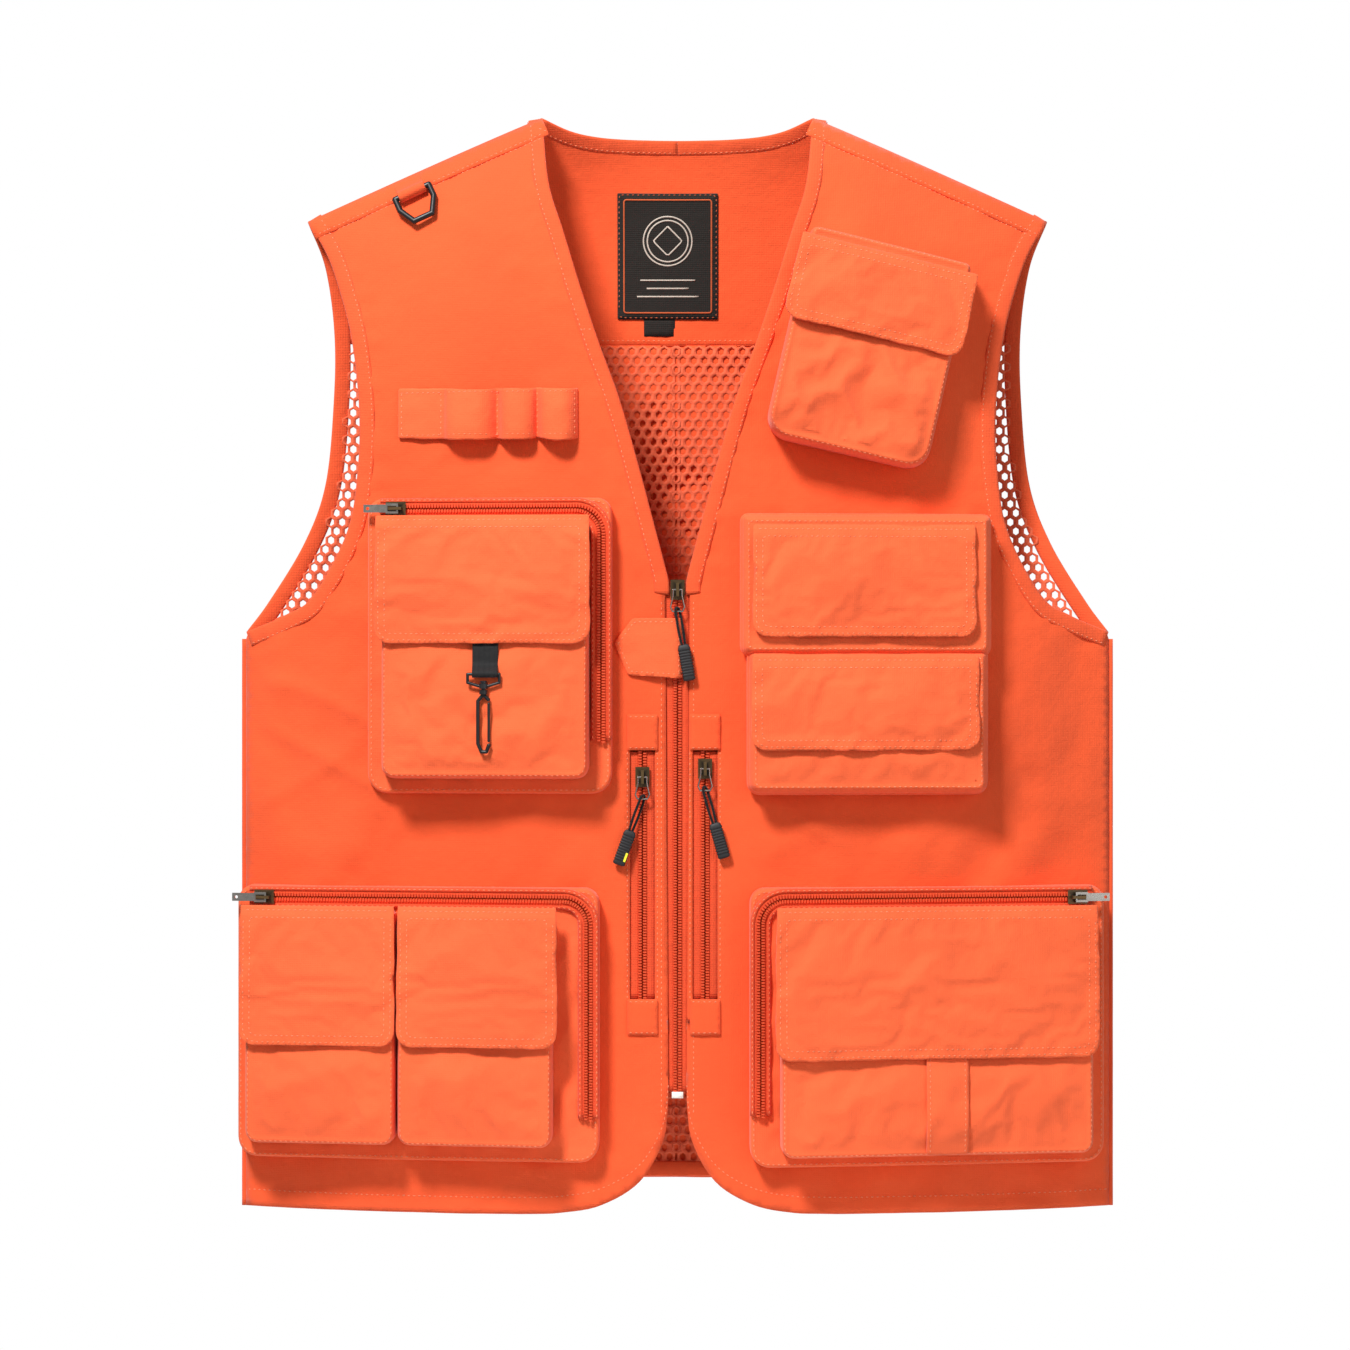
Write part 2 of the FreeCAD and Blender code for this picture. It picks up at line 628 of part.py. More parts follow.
def zip_strip(path, low, high):
    far, far_start, far_end = zip_curve(*path, high)
    near, near_start, near_end = zip_curve(*path, low)
    caps = [Part.LineSegment(far_end, near_end).toShape(),
            Part.LineSegment(near_start, far_start).toShape()]
    return Part.Face(Part.Wire(Part.__sortEdges__(far + near + caps)))


TAPE_OUT = PLATE_GAP * 2 + PLATE          # tape stands off so the slider's lower plate passes
ROW_OUT = TAPE_OUT + TAPE
ROW_TOP = ROW_OUT + ROW_HIGH


def pocket_zip(face, path):
    sides = []
    for s in (1, -1):
        tape_low, tape_high = sorted((s * SLOT_HALF, s * TAPE_HALF))
        row_low, row_high = sorted((s * SLOT_HALF, s * (SLOT_HALF + ROW)))
        tape = layer(face, TAPE_OUT, ROW_OUT).common(prism(zip_strip(path, tape_low, tape_high)))
        row = layer(face, ROW_OUT - 0.1, ROW_TOP).common(prism(zip_strip(path, row_low, row_high)))
        sides.append(tape.fuse(row).removeSplitter())
    return Part.makeCompound(sides)


CHEST_ZIP = (-CHEST_OUT_X + 8, -CHEST_IN_X - ZIP_INSET, CHEST_TOP_Z - ZIP_INSET, CHEST_BOTTOM_Z + 32)
CARGO_ZIP = (-CARGO_OUT_X + 8, -CARGO_IN_X - ZIP_INSET, CARGO_TOP_Z - ZIP_INSET, CARGO_BOTTOM_Z + 27)
LEFT_ZIP = (LEFT_OUT_X - 8, LEFT_IN_X + ZIP_INSET, LEFT_TOP_Z - ZIP_INSET, LEFT_BOTTOM_Z + 32)
SLIDER_IN = 10.0                          # slider's centre in from the zip's start


# ------------------------------------------------------------------ sliders
def place(shape, origin, run, out):
    """Puts a piece drawn along +X with its outside towards +Z where it belongs."""
    run = V(run).normalize()
    out = V(out).normalize()
    side = out.cross(run)
    matrix = FreeCAD.Matrix(run.x, side.x, out.x, origin.x, run.y, side.y, out.y, origin.y,
                            run.z, side.z, out.z, origin.z, 0, 0, 0, 1)
    moved = shape.copy()
    moved.Placement = FreeCAD.Placement(matrix)
    return moved


def rods(points, radius, closed=True):
    """Round bar along straight runs, with a ball at each corner."""
    pieces = [Part.makeSphere(radius, p) for p in points]
    ends = points[1:] + points[:1] if closed else points[1:]
    for start, end in zip(points, ends):
        pieces.append(Part.makeCylinder(radius, (end - start).Length, start, end - start))
    return pieces[0].fuse(pieces[1:]).removeSplitter()


def slider(tape_low, row_top):
    """Two plates joined by a thin web in the slot, with a bridge for the pull on top."""
    top = row_top + PLATE_GAP
    low = tape_low - PLATE_GAP - PLATE
    long = SLIDER_LONG / 2
    body = Part.makeBox(2 * long, 2 * SLIDER_HALF, PLATE, V(-long, -SLIDER_HALF, top))
    sole = Part.makeBox(2 * long, 2 * SLIDER_HALF, PLATE, V(-long, -SLIDER_HALF, low))
    web = Part.makeBox(long, 2 * WEB_HALF, top - low, V(-long, -WEB_HALF, low + 0.1))
    crown = top + PLATE + BRIDGE_HIGH
    arch = Part.makeBox(8.0, 1.8, BRIDGE_HIGH + 0.1, V(-4.0, -0.9, top + PLATE - 0.1))
    window = Part.makeBox(5.2, 3.0, BRIDGE_HIGH - 1.0, V(-2.6, -1.5, top + PLATE - 0.1))
    solid = body.fuse([sole, web, arch.cut(window)]).removeSplitter()
    return solid, crown


def bar_height(crown):
    """Height of the pull's bar under the bridge."""
    return crown - 1.1 - BRIDGE_BAR


def bail(crown):
    """Wire loop through the bridge, hanging along +X."""
    z = bar_height(crown)
    corner = BAIL_LONG - 2.5
    half = [V(0, 2.6, z), V(3.5, 2.6, z), V(corner, BAIL_HALF, z), V(BAIL_LONG, 3.0, z)]
    other = [V(p.x, -p.y, z) for p in half[::-1]]
    return rods(half + other, BAIL_WIRE)


def cord_points(crown):
    """Route of a pull cord: up one side of the bail's wire, over it and down the other."""
    z = bar_height(crown)
    one = [(CORD_DROP, -1.0, 0.8), (12.0, -1.5, 1.1), (4.5, -1.3, 1.6), (-2.2, -1.2, 1.6)]
    two = [(-2.2, 1.2, -1.6), (4.5, 1.4, -1.5), (12.0, 1.5, -1.1), (CORD_DROP, 1.0, -0.8)]
    return [V(BAIL_LONG + x, y, z + out) for x, y, out in one + two]


def cord_tube(points):
    """Round cord of straight runs joined by tangent arcs."""
    edges = []
    last = points[0]
    for before, corner, after in zip(points, points[1:], points[2:]):
        back = (before - corner).normalize()
        ahead = (after - corner).normalize()
        turn = math.pi - back.getAngle(ahead)
        trim = 0.45 * min((before - corner).Length, (after - corner).Length)
        radius = trim / math.tan(turn / 2)
        middle = (back + ahead).normalize()
        centre = corner + middle * math.hypot(trim, radius)
        start = corner + back * trim
        end = corner + ahead * trim
        edges.append(Part.LineSegment(last, start).toShape())
        edges.append(Part.Arc(start, centre - middle * radius, end).toShape())
        last = end
    edges.append(Part.LineSegment(last, points[-1]).toShape())
    wire = Part.Wire(edges)
    ring = Part.Wire(Part.Circle(points[0], points[1] - points[0], CORD / 2).toShape())
    return wire.makePipeShell([ring], True, False)


def grip(crown):
    z = bar_height(crown)
    start = BAIL_LONG + CORD_DROP
    block = Part.makeBox(GRIP_LONG, 2 * GRIP_HALF, GRIP_THICK, V(start, -GRIP_HALF, z - GRIP_THICK / 2))
    return block.makeFillet(0.8, [e for e in block.Edges if abs(e.Length - GRIP_LONG) < 1e-6])


def flat_pull(crown):
    """Flat metal pull whose end bar passes under the bridge."""
    z = bar_height(crown) - PULL_THICK / 2
    half = PULL_HALF
    plate = Part.makeBox(PULL_LONG - 4, 2 * half, PULL_THICK, V(4, -half, z))
    head = Part.makeBox(7.5, 2 * half + 1.2, PULL_THICK, V(-2.0, -half - 0.6, z))
    hole = Part.makeBox(5.3, 3.0, 9, V(-0.9, -1.5, z - 4))
    tip_hole = Part.makeCylinder(1.0, 9, V(PULL_LONG - 2.6, 0, z - 4))
    return plate.fuse(head).cut(hole).cut(tip_hole).removeSplitter()


DOWN = V(0, 0, -1)
OUT = V(0, -1, 0)


# ------------------------------------------------------------------ front zips
def zip_lengths(x, z_top, z_low, tape_half):
    """Two tapes with their rows, straight down behind the front panels."""
    sides = []
    far = -CLOTH / 2 - GAP
    for s in (1, -1):
        t0, t1 = sorted((x + s * SLOT_HALF, x + s * tape_half))
        r0, r1 = sorted((x + s * SLOT_HALF, x + s * (SLOT_HALF + ROW)))
        tape = layer(FRONT, far - TAPE, far).common(prism(rectangle(t0, t1, z_low, z_top)))
        row = layer(FRONT, far - 0.1, far + ROW_HIGH).common(prism(rectangle(r0, r1, z_low, z_top)))
        sides.append(tape.fuse(row).removeSplitter())
    return sides


def main_zip():
    sides = zip_lengths(0, V_BOTTOM_Z - LEAD - 1, main_stop_z, MAIN_TAPE_HALF)
    return Part.makeCompound(sides + [main_zip_stop()])


def main_zip_stop():
    y = front_y(0, main_stop_z)
    block = Part.makeBox(7.0, 3.6, 4.0, V(-3.5, y - 1.8, main_stop_z - 4.0 - GAP))
    return block.makeFillet(0.8, block.Edges)


def hand_zips():
    sides = []
    for x in (HAND_RIGHT_X, HAND_LEFT_X):
        sides += zip_lengths(x, HAND_TOP_Z + 6, HAND_END_Z, HAND_WINDOW + 0.5)
    return Part.makeCompound(sides)


def hand_zip_patches():
    pieces = []
    for x in (HAND_RIGHT_X, HAND_LEFT_X):
        for z0, z1 in ((HAND_TOP_Z + 7, HAND_TOP_Z + 7 + PATCH_LONG),
                       (HAND_END_Z - PATCH_LONG, HAND_END_Z)):
            area = rectangle(x - HAND_WINDOW - 1, x + HAND_WINDOW + 1, z0, z1)
            pieces.append(cloth_cut(FRONT, area, LIFT - 0.1, LIFT + 0.6))
    return Part.makeCompound(pieces)


def hand_windows():
    """Openings in the front panels over the hand zips."""
    return [rectangle(x - HAND_WINDOW, x + HAND_WINDOW, HAND_END_Z, HAND_TOP_Z + 7)
            for x in (HAND_RIGHT_X, HAND_LEFT_X)]


def hand_pocket_bags():
    pieces = []
    for side in (-1, 1):
        x0, x1 = sorted((side * (MAIN_TAPE_HALF + 2), side * 165))
        area = rectangle(x0, x1, HAND_END_Z - 48, HAND_TOP_Z + 22, 25, 25)
        pieces.append(cloth_cut(FRONT, area, HAND_BAG_NEAR - HAND_BAG, HAND_BAG_NEAR))
    return Part.makeCompound(pieces)


def zip_tab():
    """Pointed tab across the front; its root at the zip stays soft and is left open here."""
    corners = [(-38, -37), (-27, -22), (-FRONT_EDGE_X, -22), (-FRONT_EDGE_X, -58), (-29, -56)]
    corners = [V(x, 0, V_BOTTOM_Z + z) for x, z in corners]
    area = Part.Face(Part.makePolygon(corners + corners[:1]))
    return cloth_cut(FRONT, area, LIFT, LIFT + 1.0)


# ------------------------------------------------------------------ placed sliders and pulls
def front_slider_parts(x, z, swing=0.0):
    """Slider, bail, cord and grip of one front zip; swing turns the grip towards +X."""
    body, crown = slider(FRONT_TAPE_LOW, FRONT_ROW_TOP)
    origin = V(x, front_y(x, z), z)
    bottom = V(x, origin.y, z - BAIL_LONG)
    pieces = [place(body, origin, DOWN, OUT), place(bail(crown), origin, DOWN, OUT)]
    for hanging in (cord_tube(cord_points(crown)), grip(crown)):
        hung = place(hanging, origin, DOWN, OUT)
        pieces.append(hung.rotated(bottom, OUT, swing))
    return pieces


def cargo_slider_parts(height, path):
    """Slider and flat pull at the outer end of a cargo pocket's zip."""
    x_start, x_turn, z_run, _ = path
    s = 1 if x_turn > x_start else -1
    x = x_start + s * SLIDER_IN
    origin = V(x, height(x, z_run), z_run)
    run = V(x - s * 10, height(x - s * 10, z_run), z_run) - origin
    ahead = V(0, 0, 1).cross(run)
    out = ahead if ahead.y < 0 else -ahead
    body, crown = slider(TAPE_OUT, ROW_TOP)
    return place(body, origin, run, out), place(flat_pull(crown), origin, run, out)


# ------------------------------------------------------------------ snap hook
HOOK_X = -114.0
HOOK_OUT = 7.8            # eye's bar ahead of the pocket's front
STRAP_HALF = 7.75
EYE_WIRE = 0.9
EYE_HALF = 9.5
EYE_DEEP = 8.5
STEM = 1.2
HOOK_WIRE = 1.1
GATE_WIRE = 0.8
EYE_Z = CHEST_FLAP[2] - 18.5


def hook_frame():
    """Middle of the eye's bar, the way along it and the way out of the pocket."""
    along = V(10, CHEST[3](HOOK_X + 10, EYE_Z) - CHEST[3](HOOK_X, EYE_Z), 0).normalize()
    out = along.cross(V(0, 0, 1)).normalize()
    return V(HOOK_X, CHEST[3](HOOK_X, EYE_Z), EYE_Z) + out * HOOK_OUT, along, out


def hook_strap():
    centre, _, out = hook_frame()
    area = rectangle(HOOK_X - STRAP_HALF, HOOK_X + STRAP_HALF, EYE_Z - 1, CHEST_FLAP[2] + 5)
    web = layer(CHEST[2], GAP, GAP + CLOTH).common(prism(area))
    fold = Part.makeBox(2.6, 2 * STRAP_HALF, HOOK_OUT - 1.2, V(-1.3, -STRAP_HALF, 0.8 - HOOK_OUT))
    tube = Part.makeCylinder(EYE_WIRE + GAP + 1.0, 2 * STRAP_HALF, V(0, -STRAP_HALF, 0), V(0, 1, 0))
    bore = Part.makeCylinder(EYE_WIRE + GAP, 60, V(0, -30, 0), V(0, 1, 0))
    end = place(fold.fuse(tube).cut(bore), centre, DOWN, out)
    return web.fuse(end).removeSplitter()


def hook_eye():
    centre, _, out = hook_frame()
    low = EYE_DEEP - 1.5
    ring = rods([V(0, -EYE_HALF, 0), V(low - 2, -EYE_HALF, 0), V(low, -3.0, 0), V(low, 3.0, 0),
                 V(low - 2, EYE_HALF, 0), V(0, EYE_HALF, 0)], EYE_WIRE)
    boss = Part.makeCylinder(2.6, 3.0, V(low - 1.5, 0, 0), V(1, 0, 0))
    bore = Part.makeCylinder(STEM + 0.2, 12, V(low - 6, 0, 0), V(1, 0, 0))
    return place(ring.fuse(boss).cut(bore), centre, DOWN, out)


def snap_hook():
    centre, _, out = hook_frame()
    low = EYE_DEEP - 1.5
    head = Part.makeCylinder(2.1, 1.2, V(low - 1.5 - 1.2 - GAP, 0, 0), V(1, 0, 0))
    stem = Part.makeCylinder(STEM, 9.0, V(low - 2.2, 0, 0), V(1, 0, 0))
    collar = Part.makeCylinder(2.4, 2.6, V(low + 2.4, 0, 0), V(1, 0, 0))
    bow = rods([V(low + 5, 0, 0), V(low + 9, -3.3, 0), V(low + 34, -3.3, 0), V(low + 39, -1.2, 0),
                V(low + 39, 1.8, 0), V(low + 35, 3.3, 0)], HOOK_WIRE, False)
    lug = rods([V(low + 5, 0, 0), V(low + 8, 3.0, 0)], HOOK_WIRE, False)
    return place(head.fuse([stem, collar, bow, lug]).removeSplitter(), centre, DOWN, out)


def hook_gate():
    centre, _, out = hook_frame()
    low = EYE_DEEP - 1.5
    gate = rods([V(low + 10.5, 3.2, 0), V(low + 32.5, 3.2, 0)], GATE_WIRE, False)
    return place(gate, centre, DOWN, out)


# ------------------------------------------------------------------ build
def front_panels():
    left = front_panel().cut([prism(w) for w in hand_windows()[1:]])
    right = mirrored(front_panel()).cut([prism(w) for w in hand_windows()[:1]])
    return left, right


def build():
    left, right = front_panels()
    main = front_slider_parts(0, MAIN_TOP_Z, MAIN_SWING)
    hand_right = front_slider_parts(HAND_RIGHT_X, HAND_RIGHT_Z, HAND_RIGHT_SWING)
    hand_left = front_slider_parts(HAND_LEFT_X, HAND_LEFT_Z, HAND_LEFT_SWING)
    chest = cargo_slider_parts(CHEST[1], CHEST_ZIP)
    right_cargo = cargo_slider_parts(CARGO[1], CARGO_ZIP)
    left_cargo = cargo_slider_parts(LEFT[1], LEFT_ZIP)
    lining = front_lining()
    return {
        "left_front_panel": left,
        "right_front_panel": right,
        "front_linings": Part.makeCompound([lining, mirrored(lining)]),
        "back_yoke": back_yoke(),
        "back_shell": back_shell(),
        "back_mesh_lining": back_mesh(),
        "neck_binding": neck_binding(),
        "armhole_bindings": armhole_bindings(),
        "side_seam_tapes": side_seams(),
        "neck_labels": Part.makeCompound([neck_label(), size_tab()]),
        "tool_loops": tool_loops(),
        "ring_keeper": ring_keeper(),
        "d_ring": d_ring(),
        "main_zip": main_zip(),
        "hand_zips": hand_zips(),
        "hand_zip_patches": hand_zip_patches(),
        "hand_pocket_bags": hand_pocket_bags(),
        "zip_tab": zip_tab(),
        "chest_cargo_bag": chest_cargo_bag(),
        "chest_front_pocket": chest_front_pocket(),
        "chest_cargo_flap": flap(CHEST[2], *CHEST_FLAP),
        "chest_cargo_zip": pocket_zip(CHEST[0], CHEST_ZIP),
        "hook_strap": hook_strap(),
        "hook_eye": hook_eye(),
        "snap_hook": snap_hook(),
        "hook_gate": hook_gate(),
        "phone_pocket": phone_pocket(),
        "phone_flap": phone_flap(),
        "upper_bellows_pocket": upper_bellows_pocket(),
        "lower_bellows_pocket": lower_bellows_pocket(),
        "upper_bellows_flap": flap(BELLOWS_FACE, *UPPER_FLAP),
        "lower_bellows_flap": flap(BELLOWS_FACE, *LOWER_FLAP),
        "right_cargo_bag": right_cargo_bag(),
        "right_cargo_front_pockets": right_cargo_front_pockets(),
        "right_cargo_outer_flap": flap(CARGO[2], *CARGO_FLAP_OUT),
        "right_cargo_inner_flap": flap(CARGO[2], *CARGO_FLAP_IN),
        "right_cargo_zip": pocket_zip(CARGO[0], CARGO_ZIP),
        "left_cargo_bag": left_cargo_bag(),
        "left_cargo_front_pocket": left_cargo_front_pocket(),
        "left_cargo_strap": left_cargo_strap(),
        "left_cargo_flap": flap(LEFT[2], *LEFT_FLAP),
        "left_cargo_zip": pocket_zip(LEFT[0], LEFT_ZIP),
        "main_slider": main[0],
        "main_bail": main[1],
        "main_pull_cord": main[2],
        "main_grip": main[3],
        "right_hand_slider": hand_right[0],
        "right_hand_bail": hand_right[1],
        "right_hand_pull_cord": hand_right[2],
        "right_hand_grip": hand_right[3],
        "left_hand_slider": hand_left[0],
        "left_hand_bail": hand_left[1],
        "left_hand_pull_cord": hand_left[2],
        "left_hand_grip": hand_left[3],
        "chest_slider": chest[0],
        "chest_pull": chest[1],
        "right_cargo_slider": right_cargo[0],
        "right_cargo_pull": right_cargo[1],
        "left_cargo_slider": left_cargo[0],
        "left_cargo_pull": left_cargo[1],
    }


os.makedirs("parts", exist_ok=True)
for name, shape in build().items():
    shape.exportStep("parts/" + name + ".step")
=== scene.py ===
import math

import bmesh
import bpy
import numpy as np
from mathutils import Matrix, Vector
from mathutils.bvhtree import BVHTree
from mathutils.geometry import delaunay_2d_cdt


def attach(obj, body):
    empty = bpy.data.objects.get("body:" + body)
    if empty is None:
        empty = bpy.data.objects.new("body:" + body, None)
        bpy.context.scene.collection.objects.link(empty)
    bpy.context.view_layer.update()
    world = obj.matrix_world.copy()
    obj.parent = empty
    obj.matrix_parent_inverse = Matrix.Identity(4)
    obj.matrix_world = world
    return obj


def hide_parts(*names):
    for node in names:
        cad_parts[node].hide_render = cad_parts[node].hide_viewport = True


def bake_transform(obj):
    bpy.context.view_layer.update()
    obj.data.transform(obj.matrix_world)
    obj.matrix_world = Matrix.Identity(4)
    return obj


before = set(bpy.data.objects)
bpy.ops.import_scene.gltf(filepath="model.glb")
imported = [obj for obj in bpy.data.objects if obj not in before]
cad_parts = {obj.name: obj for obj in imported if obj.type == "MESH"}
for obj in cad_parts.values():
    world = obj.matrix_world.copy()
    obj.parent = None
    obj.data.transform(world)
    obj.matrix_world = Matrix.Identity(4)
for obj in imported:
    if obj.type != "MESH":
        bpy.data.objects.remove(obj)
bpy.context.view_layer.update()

# Multi-pocket utility vest. Lengths are millimetres here and become metres in the meshes.
# +Z is up, the front faces -Y, +X is the wearer's left. "out" is a distance along -Y.
MM = 0.001

# ------------------------------------------------------------------ sizes shared with the CAD part
SIDE_X = 265.0
HEM_Z = -651.0
NECK_X, NECK_Z = 82.5, 11.0
TIP_X, TIP_Z = 225.0, -52.0
ARM_X = 192.0
PANEL_X = 262.5
UNDERARM_Z = -302.0
V_BOTTOM_Z = -272.0
EDGE_X = 5.5
YOKE_Z = -123.0
CLOTH = 1.2
FRONT_DEPTH, BACK_DEPTH = 45.0, 40.0
RIDGE_ROUND = 40.0
BACK_HALF = 187.0
HAND_ZIP_X = (-21.0, 16.5)
WINDOW_Z = (-522.0, -373.0)

NECK_LINE = [(NECK_X, NECK_Z), (78, -31), (69, -61), (58, -97), (47, -130), (35, -163), (23, -205),
             (13.5, -241), (EDGE_X, V_BOTTOM_Z)]
NAPE_LINE = [(0, 0), (30, 0.4), (50, 1.6), (66, 4.6), (NECK_X, NECK_Z)]
FRONT_ARM = [(TIP_X, TIP_Z), (ARM_X + 22, -70), (ARM_X + 14, -90), (ARM_X + 5, -123), (ARM_X, -165),
             (ARM_X + 0.5, -202), (ARM_X + 7, -241), (ARM_X + 28, -280), (ARM_X + 46, -292),
             (PANEL_X, UNDERARM_Z)]
BACK_ARM = [(TIP_X, TIP_Z), (ARM_X + 23, -79), (ARM_X + 18, -118), (ARM_X + 18.5, -160),
            (ARM_X + 23.5, -211), (ARM_X + 36, -247), (ARM_X + 57, -283), (PANEL_X, UNDERARM_Z)]
FRONT_CORNER = [(EDGE_X, HEM_Z + 68), (8.7, HEM_Z + 44), (22.5, HEM_Z + 20), (45, HEM_Z + 6),
                (70, HEM_Z + 1), (95, HEM_Z)]


def ridge_arc(x):
    return np.hypot(x, RIDGE_ROUND)


RIDGE_SLOPE = (NECK_Z - TIP_Z) / (ridge_arc(TIP_X) - ridge_arc(NECK_X))


def ridge_z(x):
    return NECK_Z - RIDGE_SLOPE * (ridge_arc(x) - ridge_arc(NECK_X))


RIDGE = [(x, float(ridge_z(x))) for x in (NECK_X, 100, 118, 136, 154, 172, 190, 208, TIP_X)]
BACK_HEM = np.array([(x * PANEL_X, HEM_Z + 12 * (1 - x * x)) for x in np.linspace(-1, 1, 21)])


def bulge(x, z):
    across = 1 - np.abs(x / SIDE_X) ** 2.5
    drop = (ridge_z(x) - z) / 45.0
    return across * np.where(drop > 0, 1 - np.exp(-np.maximum(drop, 0)), drop)


SEAM_Y = -BACK_DEPTH * float(bulge(0.0, 0.0))


# ------------------------------------------------------------------ folds in the cloth
def noise(x, z, size, seed):
    """Smooth value noise from -1 to 1."""
    u, v = np.asarray(x) / size, np.asarray(z) / size
    i, j = np.floor(u).astype(np.int64), np.floor(v).astype(np.int64)
    fu, fv = u - i, v - j
    su = fu * fu * fu * (fu * (fu * 6 - 15) + 10)
    sv = fv * fv * fv * (fv * (fv * 6 - 15) + 10)

    def corner(a, b):
        n = (a * 374761393 + b * 668265263 + seed * 144269504) & 0xFFFFFFFF
        n = ((n ^ (n >> 13)) * 1274126177) & 0xFFFFFFFF
        return ((n ^ (n >> 16)) & 0xFFFF) / 32767.5 - 1

    low = corner(i, j) * (1 - su) + corner(i + 1, j) * su
    high = corner(i, j + 1) * (1 - su) + corner(i + 1, j + 1) * su
    return low * (1 - sv) + high * sv


def folds(x, z, angle, across, along, seed):
    """Long soft folds that run along a direction, given in degrees from +X towards +Z."""
    c, s = math.cos(math.radians(angle)), math.sin(math.radians(angle))
    return noise((-x * s + z * c) / across, (x * c + z * s) / along, 1.0, seed)


def ramp(value, width):
    t = np.clip(value / width, 0, 1)
    return t * t * (3 - 2 * t)


def line_x(points, z):
    zs = np.array([p[1] for p in points])[::-1]
    xs = np.array([p[0] for p in points])[::-1]
    return np.interp(z, zs, xs)


def body_folds(x, z, seed):
    broad = 3.2 * folds(x, z, 72, 58, 230, seed) + 2.2 * folds(x, z, 128, 46, 170, seed + 1)
    small = 1.4 * folds(x, z, 60, 21, 95, seed + 2) + 0.7 * noise(x, z, 14, seed + 3)
    crease = 2.6 * (1 - np.abs(folds(x, z, 152, 38, 150, seed + 4))) ** 5 \
        + 2.2 * (1 - np.abs(folds(x, z, 28, 44, 130, seed + 5))) ** 5
    return np.clip(1.2 * broad + small + crease * ramp(noise(x, z, 70, seed + 6) + 0.5, 0.8), -1.6, 8.5)


def front_mask(x, z):
    a = np.abs(x)
    neck = ramp(a - line_x(NECK_LINE, z) - 12, 34)
    middle = ramp(a - 32, 40)
    arm = np.where(z > UNDERARM_Z, ramp(line_x(FRONT_ARM, z) - 12 - a, 26), 1.0)
    return neck * middle * arm * ramp(ridge_z(x) - 22 - z, 60) * ramp(PANEL_X - a, 22) \
        * (0.35 + 0.65 * ramp(z - HEM_Z - 8, 30))


def plain_front(x, z):
    return SEAM_Y - FRONT_DEPTH * bulge(x, z)


def front_y(x, z):
    return plain_front(x, z) - body_folds(x, z, 11) * front_mask(x, z)


def plain_back(x, z):
    return SEAM_Y + BACK_DEPTH * bulge(x, z)


def back_y(x, z):
    mask = ramp(BACK_HALF - np.abs(x), 24) * ramp(YOKE_Z - 4 - z, 40) * (0.35 + 0.65 * ramp(z - HEM_Z - 14, 30))
    return plain_back(x, z) + np.clip(body_folds(x, z, 31) * 1.3, -0.5, 8.0) * mask


def flat_front(at):
    """Height of a flat layer through three points (x, z, out from the front)."""
    points = [Vector((x, float(plain_front(x, z)) - out, z)) for x, z, out in at]
    normal = (points[1] - points[0]).cross(points[2] - points[0])

    def height(x, z):
        return points[0].y - (normal.x * (x - points[0].x) + normal.z * (z - points[0].z)) / normal.y

    return height


def fronts(x_in, x_out, z_top, z_bottom, bag_in, bag_out, patch_top, patch_bottom):
    bag = flat_front([(x_in, z_top, bag_in), (x_out, z_top, bag_out), (x_in, z_bottom, bag_in)])
    patch = flat_front([(x_in, z_top, bag_in + patch_top), (x_out, z_top, bag_out + patch_top),
                        (x_in, z_bottom, bag_in + patch_bottom)])
    return bag, patch


CHEST_BAG_Y, CHEST_Y = fronts(-39, -186, -222, -399, 11, 13, 14, 19)
CARGO_BAG_Y, CARGO_Y = fronts(-46.5, -266, -455, -619, 15, 23, 14, 20)
LEFT_BAG_Y, LEFT_Y = fronts(43, 258, -455, -622, 15, 21, 14, 20)
BELLOWS_Y = flat_front([(40, -234, 19), (186, -234, 22), (40, -397, 23)])
PHONE_Y = flat_front([(88, -56, 28), (192, -83, 29), (62, -180, 28)])


# ------------------------------------------------------------------ outlines
def smooth(points, step=4.0):
    """Catmull-Rom line through points, sampled about every step."""
    p = np.array(points, float)
    if len(p) == 2:
        n = max(1, int(np.hypot(*(p[1] - p[0])) / step))
        return p[0] + (p[1] - p[0]) * np.linspace(0, 1, n + 1)[:, None]
    p = np.vstack([2 * p[0] - p[1], p, 2 * p[-1] - p[-2]])
    out = []
    for a, b, c, d in zip(p[:-3], p[1:-2], p[2:-1], p[3:]):
        n = max(1, int(np.hypot(*(c - b)) / step))
        for t in np.arange(n) / n:
            out.append(0.5 * (2 * b + (c - a) * t + (2 * a - 5 * b + 4 * c - d) * t * t
                              + (3 * b - a - 3 * c + d) * t ** 3))
    out.append(p[-2])
    return np.array(out)


def flip(points):
    return np.array(points, float) * (-1, 1)


def mirrored(points, side):
    """The same points for side 1, and their mirror image for side -1."""
    return points if side > 0 else flip(points)


def normals(line):
    """Unit normals to the right-hand side of a line."""
    d = np.gradient(line, axis=0)
    d /= np.hypot(d[:, 0], d[:, 1])[:, None]
    return np.column_stack([d[:, 1], -d[:, 0]])


def shifted(line, distance):
    return line + normals(line) * distance


def spaced(line, step):
    """Points every step along a line."""
    seg = np.hypot(*np.diff(line, axis=0).T)
    along = np.concatenate([[0], np.cumsum(seg)])
    n = max(1, int(round(along[-1] / step)))
    at = np.linspace(0, along[-1], n + 1)
    return np.column_stack([np.interp(at, along, line[:, k]) for k in range(line.shape[1])])


def beside(points, distance):
    """Smooth line through points, moved sideways."""
    return shifted(smooth(points), distance)


def straight(a, b, step=4):
    return spaced(np.array([a, b], float), step)


